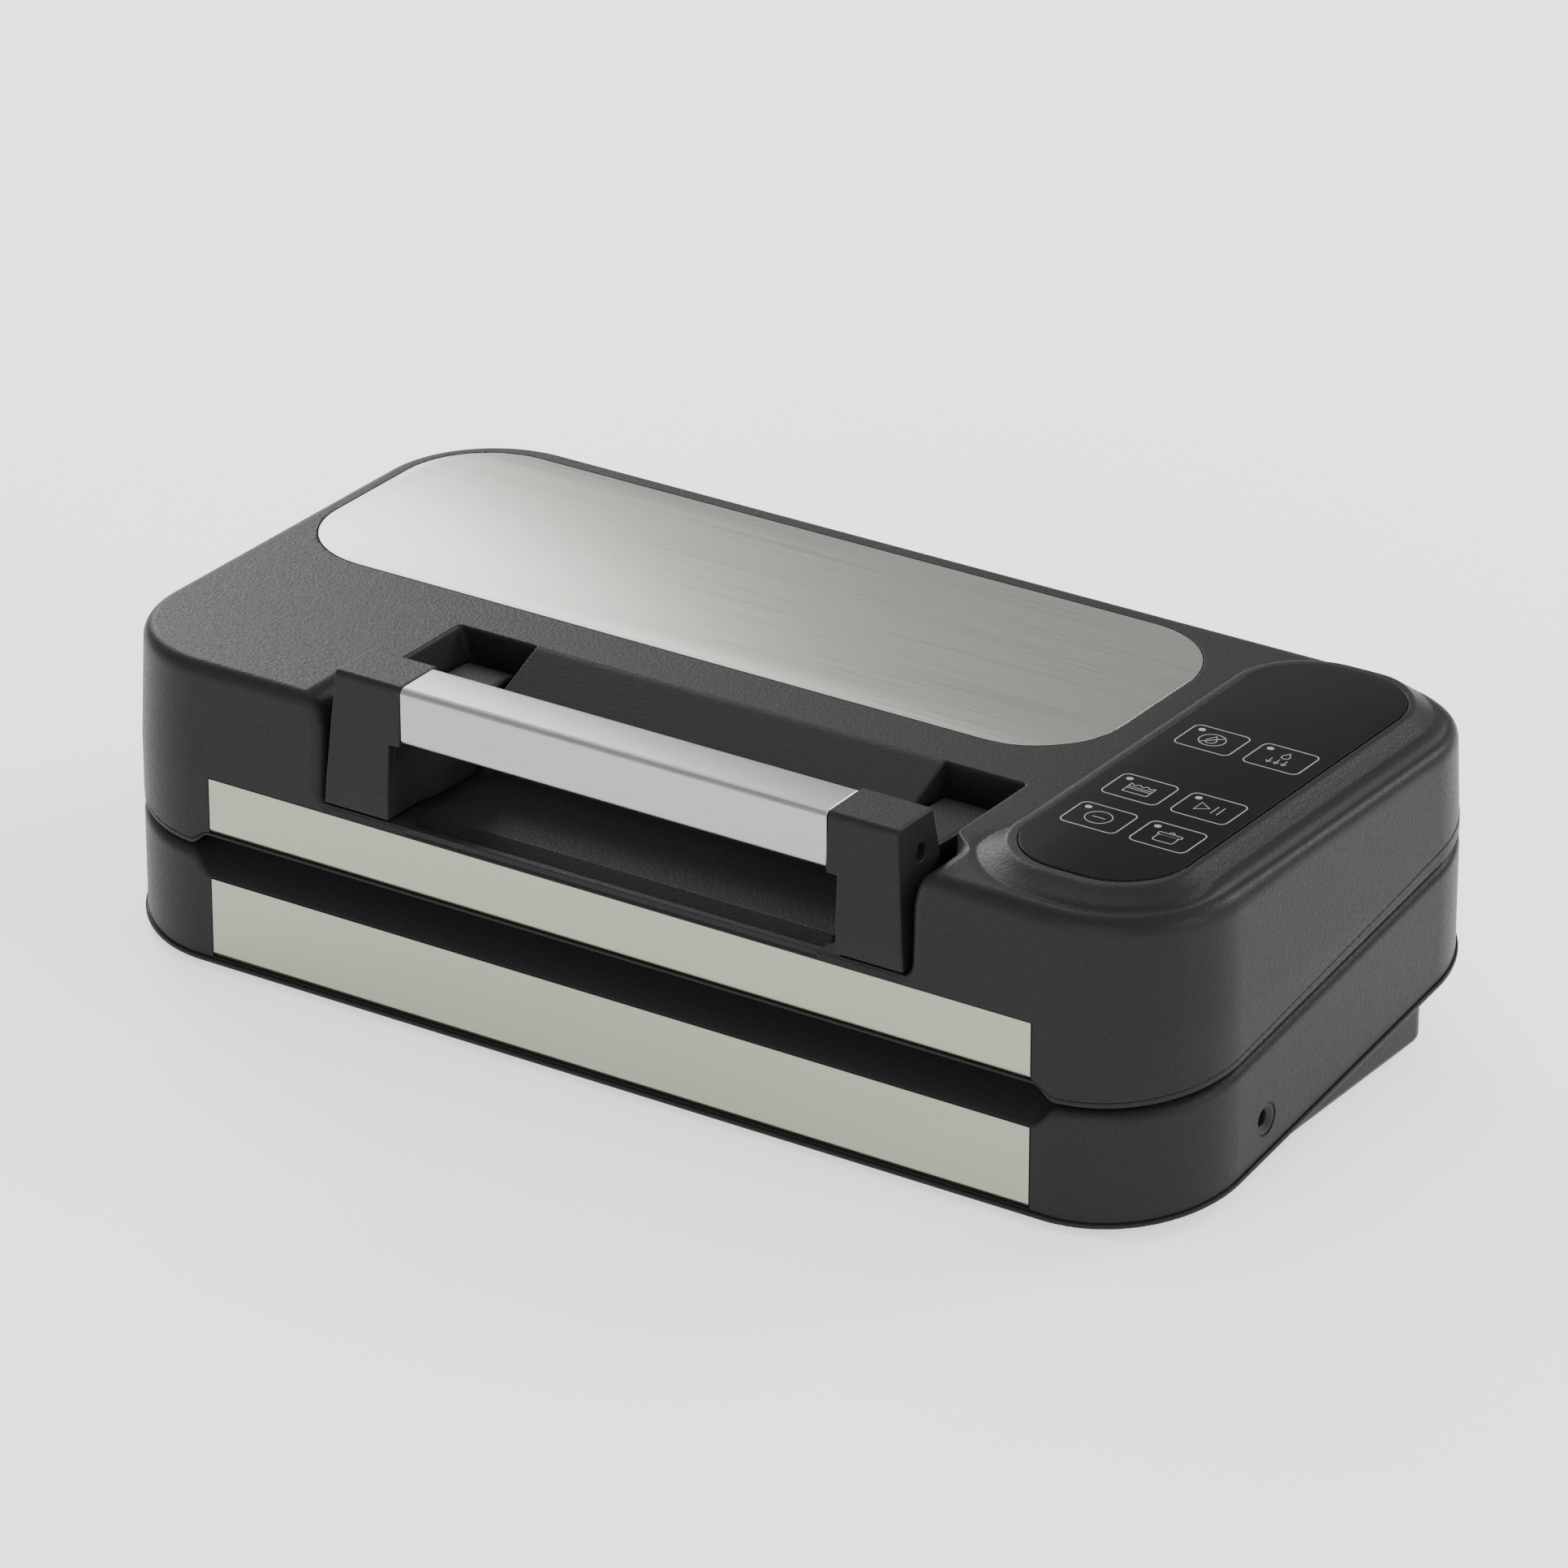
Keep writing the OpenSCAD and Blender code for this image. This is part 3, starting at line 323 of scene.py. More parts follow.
def brushed(name, dark, light, rough, along, across, strength):
    """Sheet metal with fine grain along X."""
    f = Finish(name, Metallic=1.0)
    lines = f.noise(1, 5, 0.7, f.stretched((along, across, across)))
    f.paint(lines, (0.3, colour(dark)), (0.7, colour(light)))
    f.spread(lines, *rough)
    scratches = f.noise(1, 3, 0.7, f.stretched((along * 1.3, across * 1.6, across * 1.6)))
    f.bump(scratches, strength, SCRATCH_DEPTH)
    return f.material


def trim_steel_painted_roll_shade(name, low):
    """Brushed trim steel with painted shade: its colour is darker over the rolled edge that starts at height
    low, standing in for the dark reflection there.
    """
    f = Finish(name, Metallic=1.0)
    lines = f.noise(1, 5, 0.7, f.stretched((14, 2600, 2600)))
    split = f.tree.nodes.new("ShaderNodeSeparateXYZ")
    f.link(f.coords, split.inputs["Vector"])
    # painted shade: the colour is darkest below low + 0.9 mm, over the rolled edge, and lighter above low +
    # 1.7 mm
    roll_shade_ramp = f.tree.nodes.new("ShaderNodeMapRange")
    roll_shade_ramp.inputs["From Min"].default_value = (low + 0.9) * MM
    roll_shade_ramp.inputs["From Max"].default_value = (low + 1.7) * MM
    roll_shade_ramp.inputs["To Max"].default_value = 0.5
    f.link(split.outputs["Z"], roll_shade_ramp.inputs["Value"])
    mixed = f.tree.nodes.new("ShaderNodeMath")
    mixed.operation = "MULTIPLY_ADD"
    f.link(lines, mixed.inputs[0])
    mixed.inputs[1].default_value = 0.4
    f.link(roll_shade_ramp.outputs["Result"], mixed.inputs[2])
    # the darker olive stops are the painted shade over the roll; the lighter stops are the flat sheet
    f.paint(mixed.outputs["Value"], (0.12, colour("716f5f")), (0.28, colour("82806e")),
            (0.62, colour("969689")), (0.78, colour("9e9e91")))
    f.spread(lines, 0.34, 0.42)
    f.bump(f.noise(1, 3, 0.7, f.stretched((18, 4200, 4200))), 0.05, SCRATCH_DEPTH)
    return f.material


def plain_metal(name, dark, light, rough=(0.25, 0.4), grain=900):
    """Plated or drawn metal with a fine, even tooth."""
    f = Finish(name, Metallic=1.0)
    f.paint(f.noise(grain * 0.1, 4), (0.35, colour(dark)), (0.65, colour(light)))
    f.spread(f.noise(grain * 0.4, 4), *rough)
    f.bump(f.noise(grain, 3), 0.15, 0.00004)
    return f.material


def soft(name, dark, light, rough=(0.6, 0.8), grain=1600, strength=0.4):
    """Rubber, foam, tape, print and other dull stuff with small cells."""
    f = Finish(name, IOR=1.42)
    f.paint(f.noise(grain * 0.2, 5), (0.35, colour(dark)), (0.65, colour(light)))
    f.spread(f.noise(grain * 0.3, 2), *rough)
    f.bump(f.cells(grain), strength, 0.0001)
    return f.material


casing = moulded("casing_plastic", "1e1e1e", "232323")
inner = moulded("inner_plastic", "1f1f1f", "242424", (0.38, 0.52), 1800, 0.25)
steel_plate = brushed("plate_steel", "94938d", "aaa9a3", (0.26, 0.38), 9, 2400, 0.10)
aluminium = brushed("satin_aluminium", "9b9b9d", "a5a5a7", (0.30, 0.36), 60, 1800, 0.04)
gloss = Finish("gloss_panel", IOR=1.5, Specular_IOR_Level=0.03)
gloss.paint(gloss.noise(20, 2), (0.4, colour("161616")), (0.6, colour("191919")))
gloss.spread(gloss.noise(900, 3), 0.25, 0.28)
gloss.bump(gloss.noise(1800, 2), 0.03, 0.00002)
gloss = gloss.material
print_ink = soft("key_print", "8e8e8e", "9c9c9c", (0.45, 0.6), 2000, 0.1)
lamp_dot = soft("lamp_window", "8c8c8e", "a2a2a4", (0.3, 0.45), 1500, 0.1)
rubber = soft("rubber", "151515", "1c1c1c", (0.6, 0.75), 1400, 0.3)
foam = soft("foam_gasket", "131313", "1e1e1e", (0.85, 0.95), 2600, 0.9)
silicone = soft("silicone", "8a3226", "9c3b2e", (0.4, 0.55), 900, 0.15)
zinc = plain_metal("zinc_plate", "8d9094", "a4a7aa")
copper = plain_metal("copper", "a5612f", "bd7842", (0.3, 0.45))
tape = soft("woven_tape", "5f4f3a", "75634a", (0.4, 0.5), 2200, 0.5)
board = soft("circuit_board", "1d4a2c", "2a6039", (0.4, 0.5), 1000, 0.15)
clear = Finish("smoked_clear", Roughness=0.12, IOR=1.49)
clear.paint(clear.noise(30, 2), (0.4, colour("b9bcbc")), (0.6, colour("c6c9c9")))
clear.bump(clear.noise(200, 2), 0.05, 0.0001)
clear = clear.material
yellow = soft("transformer_tape", "b08d35", "caa448", (0.35, 0.5), 700, 0.1)
blue = soft("component_sleeve", "27397c", "31468e", (0.3, 0.45), 700, 0.1)


# ---------------------------------------------------------------- lid cover
def footprint(x, y):
    return rect(x, y - 100, BODY_W, BODY_D / 2, CORNER)


def panel_edge(x, y):
    return rect(x - PANEL[0], y - PANEL[1], *PANEL[2:])


def plate_edge(x, y):
    return rect(x - PLATE[0], y - PLATE[1], *PLATE[2:])


def lid_surface(x, y):
    """Height of the lid's top: flat, with a bed round the touch panel that slopes into it.

    The bed ends a little outside the panel, falls over a width that is larger towards the right side and
    the front, and has a shallow valley at its foot.
    """
    right, ahead = ramp(132, 160, x), ramp(50, 24, y)
    beside = ramp(160, 176, x) * (1 - ahead)
    d = panel_edge(x, y) - 3.5 + 1.5 * beside
    wide = 2.2 + 4.0 * np.maximum(right, ahead) + 2.6 * ahead
    d = 0.5 * (d + np.sqrt(d * d + 0.25))
    t = np.clip(d / wide, 0, 1)
    foot = (d - wide - 2.6 * beside) / (1.7 + 1.1 * beside)
    valley = (0.7 * right + 0.3 * ahead) * np.exp(-foot ** 2)
    return LID_TOP + (BED_TOP - LID_TOP) * (1 - t) ** (1.55 - 0.35 * beside) - valley


def lid_outside(x, y, z):
    side = footprint(x, y) + 1.5 * np.clip((z - 66) / 37.4, 0, 1)
    shoulder = 4 + ramp(106, 150, x) * (1.2 - 1.2 * ramp(35, 75, y))
    return both(side, (z - lid_surface(x, y)) * 0.85, shoulder)


def handle_walls(x, y, z):
    """Everything solid round the handle: bay floor, raised block, slot sides and pocket ends."""
    a = np.abs(x)
    bay = 66.8 + 3.5 * np.clip((y - 2.2) / 8, 0, 1) - 1.2 * np.clip((y - 10.2) / 36, 0, 1)
    slot = 68.6 + 3.4 * ramp(45, 50, y)
    floor = z - np.where(a < 75, bay, np.minimum(slot, bay + 40 * ramp(0, 3, y)))
    roll_shade_ramp = math.atan2(7.9, 17.8)
    slope = (z - LID_TOP) * math.cos(roll_shade_ramp) - (y - 69.8) * math.sin(roll_shade_ramp)
    block = both(both(slope, 50 - y, 2.5), a - 75, 0.7)
    entry = (3.2 + 4.2 * np.clip((z - 90) / 13.4, 0, 1) ** 2) * ramp(33, 22, y)
    sides = (104 + entry - 3.6 * np.clip((LID_TOP - z) / 11, 0, 1) * ramp(32, 40, y) - a) * 0.9
    walls = either(either(sides, 70.2 - y, 1.5), block, 0.4)
    return either(walls, floor, 3.0)


def trim_pocket(x, y, z, span):
    """The shallow recess in the front face that holds a trim."""
    reach = TRIM_HALF + TRIM_GAP
    return box(x, y, z, (-reach, -9, span[0] - TRIM_GAP), (reach, TRIM_THICK, span[1] + TRIM_GAP))


def lid_field(x, y, z):
    """The lid's cover, hollow from below, with recesses for the plate, the panel and the trim."""
    outside = lid_outside(x, y, z)
    edge = 0.5 + 3.0 * ramp(33, 19, y) * ramp(66, 74, z)
    skin = both(outside, handle_walls(x, y, z), edge)
    skin = less(skin, both(plate_edge(x, y) - 0.22, LID_TOP - 0.9 - z), 0.15)      # recess for the plate
    skin = less(skin, both(panel_edge(x, y) - 0.12, BED_TOP - 1.65 - z), 0.2)
    hollow = less(skin, both(both(outside, handle_walls(x, y, z)) + WALL, both(40 - z, z - 120)))
    hollow = less(hollow, both(panel_edge(x, y) + 5, 98 - z))
    a = np.abs(x)
    for bx, by in LID_BOSSES:
        boss = both(tube(a - bx, y - by, 4), both(RIM_Z + by * RIM - z, z - 101))
        hollow = either(hollow, less(boss, tube(a - bx, y - by, 1.45)))
    hollow = less(hollow, both(tube(y - PIVOT_Y, z - PIVOT_Z, 4), slab(a, 70, 110)))
    hollow = either(hollow, both(box(x, y, z, (-152, 0.4, 46), (152, 3.4, 69)), outside + 0.3))
    hollow = less(hollow, trim_pocket(x, y, z, LID_TRIM))
    mouth = ramp(158, 151, a) * ramp(24, 18, y)
    lower = RIM_Z + y * RIM
    lower = lower * (1 - mouth) + MOUTH_TOP * mouth
    return both(hollow, (lower - z) * 0.96, 0.45)


field_piece("lid_cover_shell", lid_field, (-197, 0, 42), (197, 200, 108), casing, "lid", "casing",
            "lid_cover")


# ---------------------------------------------------------------- lid liner
def gasket_groove(x, along):
    """The ring that both gaskets sit in, 0.1 wider than they are on each side."""
    return np.maximum(rect(x, along - 65, 159.1, 29.1, 10.1), -rect(x, along - 65, 152.4, 22.4, 3.9))


def knuckle(a, y, z, low, high):
    """A hinge knuckle round the pins' axis, between two distances from the middle."""
    return both(tube(y - HINGE_Y, z - HINGE_Z, KNUCKLE_R), slab(a, low, high), 0.3)


def liner_field(x, y, z):
    """The lid's underside: rim, strip ridge, posts for the shaft and the middle hinge knuckles."""
    a = np.abs(x)
    along, up = deck_frame(y, z)
    mouth = ramp(158, 151, a) * ramp(22, 14, y)
    lower = (DECK_Z + 2 + y * DECK) * (1 - mouth) + (46.1 + y * 0.02) * mouth
    rim = RIM_Z + y * RIM
    upper = rim * (1 - mouth) + np.maximum(MOUTH_TOP + 0.05, rim) * mouth
    plate = both(footprint(x, y) + 0.12, (z - upper + 0.04) * 0.98, 0.35)
    plate = both(plate, (lower - z) * 0.98, 0.5)
    ridge = box(x, along, up, (-160, 18.5, 2.2), (160, 33.5, 8.5), 0.8)
    plate = either(plate, ridge)
    post = both(slab(a, 150, 158), both(slab(y, 49, 65), both(43 + y * DECK - z, z - 93, 2.0), 3.0), 0.8)
    plate = either(plate, post, 1.0)
    web = box(a, y, z, (110.3, 197.2, HINGE_Z), (119.7, 203.6, HINGE_Z + 5), 0.4)
    plate = either(plate, either(knuckle(a, y, z, 110.3, 119.7), web))
    plate = less(plate, box(x, along, up, (-157.2, 20.8, -3), (157.2, 31.2, 6.5)), 0.3)
    plate = less(plate, both(gasket_groove(x, along), up - 3.2), 0.3)
    plate = less(plate, box(a, along, up, (162.5, 31, -9), (173.5, 65, 20), 1.0), 0.5)
    plate = less(plate, both(tube(y - PIVOT_Y, z - PIVOT_Z, 3.06), a - 180))
    plate = less(plate, tube(y - HINGE_Y, z - HINGE_Z, 1.56))
    for low in KNUCKLES:
        clear_of = box(a, y, z, (low - 0.4, 197, 60), (low + KNUCKLE_W + 0.4, 220, HINGE_Z + 4.1))
        plate = less(plate, clear_of, 0.2)
    for bx, by in LID_BOSSES:
        seat = DECK_Z + by * DECK + 3.4
        bore = either(tube(a - bx, y - by, 1.8), both(tube(a - bx, y - by, 3.4), z - seat))
        plate = less(plate, bore, 0.15)
    return plate


field_piece("lid_liner_shell", liner_field, (-197, 0, 41), (197, 205, 94), inner, "lid", "inner_casing",
            "lid_liner")


# ---------------------------------------------------------------- base
def base_field(x, y, z):
    """The base: thin walls under a pitched deck, with a lead-in for the bag along the front."""
    a = np.abs(x)
    along, up = deck_frame(y, z)
    wall = footprint(x, y)
    deck = DECK_Z + y * DECK
    leadin = 32.1 + y * (42.0 - 32.1) / 14
    mouth = ramp(159, 150.5, a)
    top = np.minimum(deck, leadin * mouth + deck * (1 - mouth))
    roof = (z - top) * (DECK_COS - 0.12 * mouth * ramp(16, 12, y))
    lip = 0.7 + 2.6 * (1 - mouth * ramp(30, 20, y))
    below = FLANGE_Z + y * FLANGE - z
    solid = both(both(wall, roof, lip), below, 0.3)
    inside = both(both(wall + WALL, roof + WALL, 1.0), below - 3)
    shell = less(solid, inside)
    shell = either(shell, both(box(x, y, z, (-152, 0.5, 6.8), (152, 3.4, 31)), solid))
    for bx, by in BASE_BOSSES:
        boss = both(tube(a - bx, y - by, 4), both(4.5 - z, roof + 1))
        shell = either(shell, less(boss, both(tube(a - bx, y - by, 1.42), z - 18.5)))
    for low in KNUCKLES:
        high = low + KNUCKLE_W
        web = box(a, y, z, (low, 197.5, HINGE_Z - 8), (high, 203.6, HINGE_Z), 0.4)
        shell = either(shell, either(knuckle(a, y, z, low, high), web))
    shell = less(shell, box(a, y, z, (109.9, 197, HINGE_Z - 4.1), (120.1, 220, 95)), 0.2)
    shell = less(shell, tube(y - HINGE_Y, z - HINGE_Z, 1.5))
    shell = less(shell, trim_pocket(x, y, z, BASE_TRIM))
    shell = less(shell, both(tube(y - HOSE_PORT[0], z - HOSE_PORT[1], 5.05), 190 - x), 0.1)
    shell = less(shell, box(x, y, z, (-151.2, 190, 42.8), (-128.8, 210, 57.2)), 0.2)      # mains inlet
    shell = less(shell, box(x, along, up, (-162, 19, -9), (162, 33, 9), 0.5), 0.3)         # heater bar
    shell = less(shell, box(x, along, up, (-148, 46, -9), (148, 84, 9), 1.0), 0.3)         # drip tray
    shell = less(shell, both(gasket_groove(x, along), -1.2 - up), 0.2)
    shell = less(shell, box(a, along, up, (162.5, 31, -9), (173.5, 65, 9), 1.0), 0.5)
    return less(shell, both(tube(x - 150, along - 150, 1.8), np.abs(up) - 9), 0.3)


field_piece("base_shell_body", base_field, (-197, 0, 3), (197, 205, 80), casing, "base", "casing",
            "base_shell")


def cover_field(x, y, z):
    """The pitched flange under the base, with the level riser below it."""
    a = np.abs(x)
    plane = (z - FLANGE_Z - y * FLANGE) * FLANGE_COS
    flange = both(footprint(x, y) - 0.8, slab(plane, -1.5, 0.0), 0.45)
    pan_edge = both(rect(x, y - 88, 189.3, 80, 9), footprint(x, y) + 6, 2.0)
    pan = both(both(pan_edge, 2 - z, 3.2), plane)
    room = both(both(pan_edge + WALL, 4.5 - z, 1.0), plane - 9)
    shell = less(either(flange, pan, 0.3), room)
    for bx, by in BASE_BOSSES:
        shell = less(shell, either(tube(a - bx, y - by, 1.8), both(tube(a - bx, y - by, 3.4), z - 3.2)), 0.1)
    for by in FEET_Y:
        shell = less(shell, both(tube(a - FEET_X, y - by, 2.5), z - 9))
    return shell


field_piece("bottom_cover_pan", cover_field, (-198, -1, 1.5), (198, 201, 34), casing, "base", "casing",
            "bottom_cover")


# ---------------------------------------------------------------- handle
def arm_field(x, y, z):
    """The right arm; the left one is its mirror image."""
    face = y - 2.0 * np.clip((z - 78) / 34, 0, 1)
    back = 18 + 6 * ramp(91, 99, z) - 0.17 * np.maximum(z - 99.5, 0)
    outer = (105.5 - (z - 69.8) * math.tan(math.radians(4.4))) - x
    inside = x - np.where(z > 94.8, 77.4, 81.4)
    front = both(both(-face, z - 114.4, 1.8), both(-outer, y - back, 0.9), 0.7)
    front = both(both(front, -inside, 0.5), 69.8 - z, 0.3)
    lever_in = 81.4 - 3.0 * ramp(8, 28, y)
    top = both(z - 95.2 - (62 - y) * 0.055, y - 65.9, 3.5)
    under = both(np.maximum(69.8, 73.4 + (y - 46) * 0.27 - 3.6 * ramp(46, 38, y)) - z, y - 65.9, 4.0)
    lever = both(both(top, under), both(lever_in - x, x - 97, 1.0), 1.3)
    lever = both(lever, 4.5 - y)
    arm = either(front, lever, 0.8)
    arm = less(arm, box(x, y, z, (84, 2.5, 60), (94.5, 38, 86), 1.5), 0.4)
    arm = less(arm, both(tube(y - 13.6, z - 103.2, 2.75), 98.5 - x), 0.3)
    return less(arm, tube(y - PIVOT_Y, z - PIVOT_Z, 3.0), 0.2)


def mirrored(f):
    return lambda x, y, z: f(-x, y, z)


field_piece("handle_arm_right_cap", arm_field, (76, 0, 69), (106, 67, 115), casing, "handle", "casing",
            "handle_arm_right", step=0.35)
field_piece("handle_arm_left_cap", mirrored(arm_field), (-106, 0, 69), (-76, 67, 115), casing, "handle",
            "casing", "handle_arm_left", step=0.35)


def swept(name, section, x0, x1, material, body, slot_name, *stands_for, soften=0.25):
    """A closed [y, z] section swept along X, with its ends softened."""
    n = len(section)
    section = np.array(section, float)
    centre = section.mean(0)
    rows = []
    for x, inset in ((x0, soften), (x0 + soften, 0), (x1 - soften, 0), (x1, soften)):
        radius = np.linalg.norm(section - centre, axis=1, keepdims=True)
        ring = section - (section - centre) / radius * inset
        rows.append(np.column_stack([np.full(n, x), ring]))
    points = np.vstack(rows)
    quads = [(i * n + k, i * n + (k + 1) % n, (i + 1) * n + (k + 1) % n, (i + 1) * n + k)
             for i in range(3) for k in range(n)]
    mesh = bpy.data.meshes.new(name)
    caps = [tuple(range(n)), tuple(range(3 * n, 4 * n))[::-1]]
    mesh.from_pydata(place(points).tolist(), [], [q[::-1] for q in quads] + caps)
    mesh.update()
    return add_piece(name, mesh, material, body, slot_name, *stands_for)


def arc(cy, cz, r, start, end, steps=8):
    """Points of an arc round (cy, cz), in degrees from the first axis."""
    return [(cy + r * math.cos(math.radians(start + (end - start) * i / steps)),
             cz + r * math.sin(math.radians(start + (end - start) * i / steps))) for i in range(steps + 1)]


def shade_by_angle(piece, degrees=30):
    piece.data.shade_smooth()
    piece.data.set_sharp_from_angle(angle=math.radians(degrees))


bar_section = (arc(3.8, 112.2, 2.2, 180, 90) + arc(18.1, 112.6, 2.0, 90, 0)
               + arc(18.3, 97.6, 1.8, 0, -90) + arc(3.4, 97.6, 1.8, 270, 180))
bar = swept("handle_bar_grip", bar_section[::-1], -GRIP_HALF, GRIP_HALF, aluminium, "handle", "bar",
            "handle_bar")
shade_by_angle(bar)


# ---------------------------------------------------------------- steel and panel
def sheet_section(z0, z1):
    """[y, z] section of a trim: a flat sheet whose lower edge rolls back into the casing."""
    return ([(TRIM_THICK, z1), (0.12, z1), (0.0, z1 - 0.12), (0.0, z0 + TRIM_ROLL)]
            + arc(TRIM_ROLL, z0 + TRIM_ROLL, TRIM_ROLL, 180, 225, 6)[1:] + [(TRIM_THICK, z0 + 0.15)])


for name, span, body, node in (("base_trim_strip", BASE_TRIM, "base", "base_trim"),
                               ("lid_trim_strip", LID_TRIM, "lid", "lid_trim")):
    # each trim's steel carries painted shade over its rolled lower edge
    strip = swept(name, sheet_section(*span), -TRIM_HALF, TRIM_HALF, trim_steel_painted_roll_shade(name + "_steel", span[0]),
                  body, "steel", node, soften=0.1)
    shade_by_angle(strip, 40)


def outline_points(middle_x, middle_y, half_x, half_y, r, inset=0.0, steps=14):
    """A rectangle with rounded corners, moved in by inset."""
    r = r - inset
    out = []
    for sx, sy, start in ((1, 1, 0), (-1, 1, 90), (-1, -1, 180), (1, -1, 270)):
        cx, cy = middle_x + sx * (half_x - inset - r), middle_y + sy * (half_y - inset - r)
        out += [(cx + r * math.cos(math.radians(start + 90 * i / steps)),
                 cy + r * math.sin(math.radians(start + 90 * i / steps))) for i in range(steps + 1)]
    return out


def plate_mesh(name, outline, z0, z1, bevel):
    """A flat plate with a rounded upper edge, as stacked outline rings."""
    rings = [(z0, 0.0)]
    for i in range(5):
        t = math.radians(90 * i / 4)
        rings.append((z1 - bevel * (1 - math.sin(t)), bevel * (1 - math.cos(t))))
    points, faces = [], []
    for z, inset in rings:
        points += [(x, y, z) for x, y in outline_points(*outline, inset=inset)]
    n = len(points) // len(rings)
    for i in range(len(rings) - 1):
        faces += [(i * n + k, i * n + (k + 1) % n, (i + 1) * n + (k + 1) % n, (i + 1) * n + k)
                  for k in range(n)]
    faces += [tuple(range(n))[::-1], tuple(range(n * (len(rings) - 1), n * len(rings)))]
    mesh = bpy.data.meshes.new(name)
    mesh.from_pydata(place(points).tolist(), [], faces)
    mesh.update()
    return mesh


plate = add_piece("top_plate_sheet", plate_mesh("top_plate_sheet", PLATE, LID_TOP - 0.8, LID_TOP, 0.15),
                  steel_plate, "lid", "steel", "top_plate")
shade_by_angle(plate, 50)
glass = add_piece("touch_panel_cover", plate_mesh("touch_panel_cover", PANEL, 105.4, PANEL_TOP, 0.35),
                  gloss, "lid", "panel", "touch_panel")
shade_by_angle(glass, 50)

# ---------------------------------------------------------------- key marks
PRINT_LOW, PRINT_HIGH = PANEL_TOP - 0.05, PANEL_TOP + 0.04


def ribbon(points, faces, line, width, closed=False):
    """Adds a thin raised line along a path in the panel's plane."""
    line = np.array(line, float)
    n = len(line)
    ahead = np.roll(line, -1, 0) - line
    behind = line - np.roll(line, 1, 0)
    if not closed:
        ahead[-1], behind[0] = behind[-1], ahead[0]
    a = ahead / np.linalg.norm(ahead, axis=1, keepdims=True)
    b = behind / np.linalg.norm(behind, axis=1, keepdims=True)
    side = a + b
    side = np.column_stack([-side[:, 1], side[:, 0]])
    side /= np.linalg.norm(side, axis=1, keepdims=True)
    reach = np.minimum(1 / np.maximum((side * np.column_stack([-a[:, 1], a[:, 0]])).sum(1), 0.5), 1.6)
    side *= (reach * width / 2)[:, None]
    base = len(points)
    for z in (PRINT_LOW, PRINT_HIGH):
        for edge in (line - side, line + side):
            points += [(x, y, z) for x, y in edge]
    low_r, low_l, top_r, top_l = (base + i * n for i in range(4))
    for i in range(n if closed else n - 1):
        j = (i + 1) % n
        faces += [(top_r + i, top_r + j, top_l + j, top_l + i), (low_l + i, low_l + j, low_r + j, low_r + i),
                  (low_r + i, low_r + j, top_r + j, top_r + i), (top_l + i, top_l + j, low_l + j, low_l + i)]
    if not closed:
        e = n - 1
        faces += [(low_l, low_r, top_r, top_l), (low_r + e, low_l + e, top_l + e, top_r + e)]


def ring_line(cx, cy, rx, ry, steps=28):
    return [(cx + rx * math.cos(math.tau * i / steps), cy + ry * math.sin(math.tau * i / steps))
            for i in range(steps)]


def drop_line(cx, cy, s):
    lower = [(cx + s * math.cos(math.radians(t)), cy - 0.3 * s + s * math.sin(math.radians(t)))
             for t in range(30, -211, -20)]
    return lower + [(cx, cy + 1.75 * s)]


keys = [(PANEL[0] + dx, PANEL[1] + dy) for dy in (16.6, -24.8, -48.0) for dx in (-11.4, 12.6)]
marks, mark_faces = [], []
for cx, cy in keys:
    ribbon(marks, mark_faces, outline_points(cx, cy, 9.6, 7.55, 2.2, steps=5), 0.38, True)


def mark(line, closed=False, width=0.3):
    ribbon(marks, mark_faces, line, width, closed)


x, y = keys[0]                                     # dry
mark(ring_line(x, y, 4.3, 4.0), True)
mark(drop_line(x, y - 0.2, 1.7), True)
mark([(x - 3.0, y - 2.8), (x + 3.0, y + 2.8)])
x, y = keys[1]                                     # moist
mark(drop_line(x + 0.6, y + 2.2, 1.35), True)
for dx in (-2.6, 0.0, 2.6):
    mark([(x + dx, y - 0.6), (x + dx, y - 3.8)])
    mark([(x + dx - 0.9, y - 2.8), (x + dx, y - 3.9), (x + dx + 0.9, y - 2.8)])
x, y = keys[2]                                     # seal a bag
mark([(x - 4.2, y + 2.2), (x - 4.2, y - 3.4), (x + 4.2, y - 3.4), (x + 4.2, y + 2.2)])
mark([(x - 4.2 + i * 0.6, y + 1.9 + 0.5 * math.cos(i * 1.35)) for i in range(15)])
mark([(x - 4.2, y + 0.2), (x + 4.2, y + 0.2)])
mark([(x - 4.2, y - 0.9), (x + 4.2, y - 0.9)])
x, y = keys[3]                                     # start and pause
mark([(x - 3.9, y - 2.6), (x - 3.9, y + 2.6), (x + 0.2, y)], True)
mark([(x + 1.9, y - 2.6), (x + 1.9, y + 2.6)])
mark([(x + 4.0, y - 2.6), (x + 4.0, y + 2.6)])
x, y = keys[4]                                     # stop
mark(ring_line(x, y, 4.3, 4.0), True)
mark([(x - 2.3, y), (x + 2.3, y)])
x, y = keys[5]                                     # canister
mark(outline_points(x, y - 1.7, 3.5, 2.1, 0.8, steps=4), True)
mark(outline_points(x, y + 1.2, 4.1, 0.75, 0.6, steps=4), True)
mark([(x - 0.9, y + 2.0), (x - 0.5, y + 3.0), (x + 0.5, y + 3.0), (x + 0.9, y + 2.0)])
mesh = bpy.data.meshes.new("key_marks")
mesh.from_pydata(place(marks).tolist(), [], mark_faces)
mesh.update()
add_piece("key_marks", mesh, print_ink, "lid", "panel")

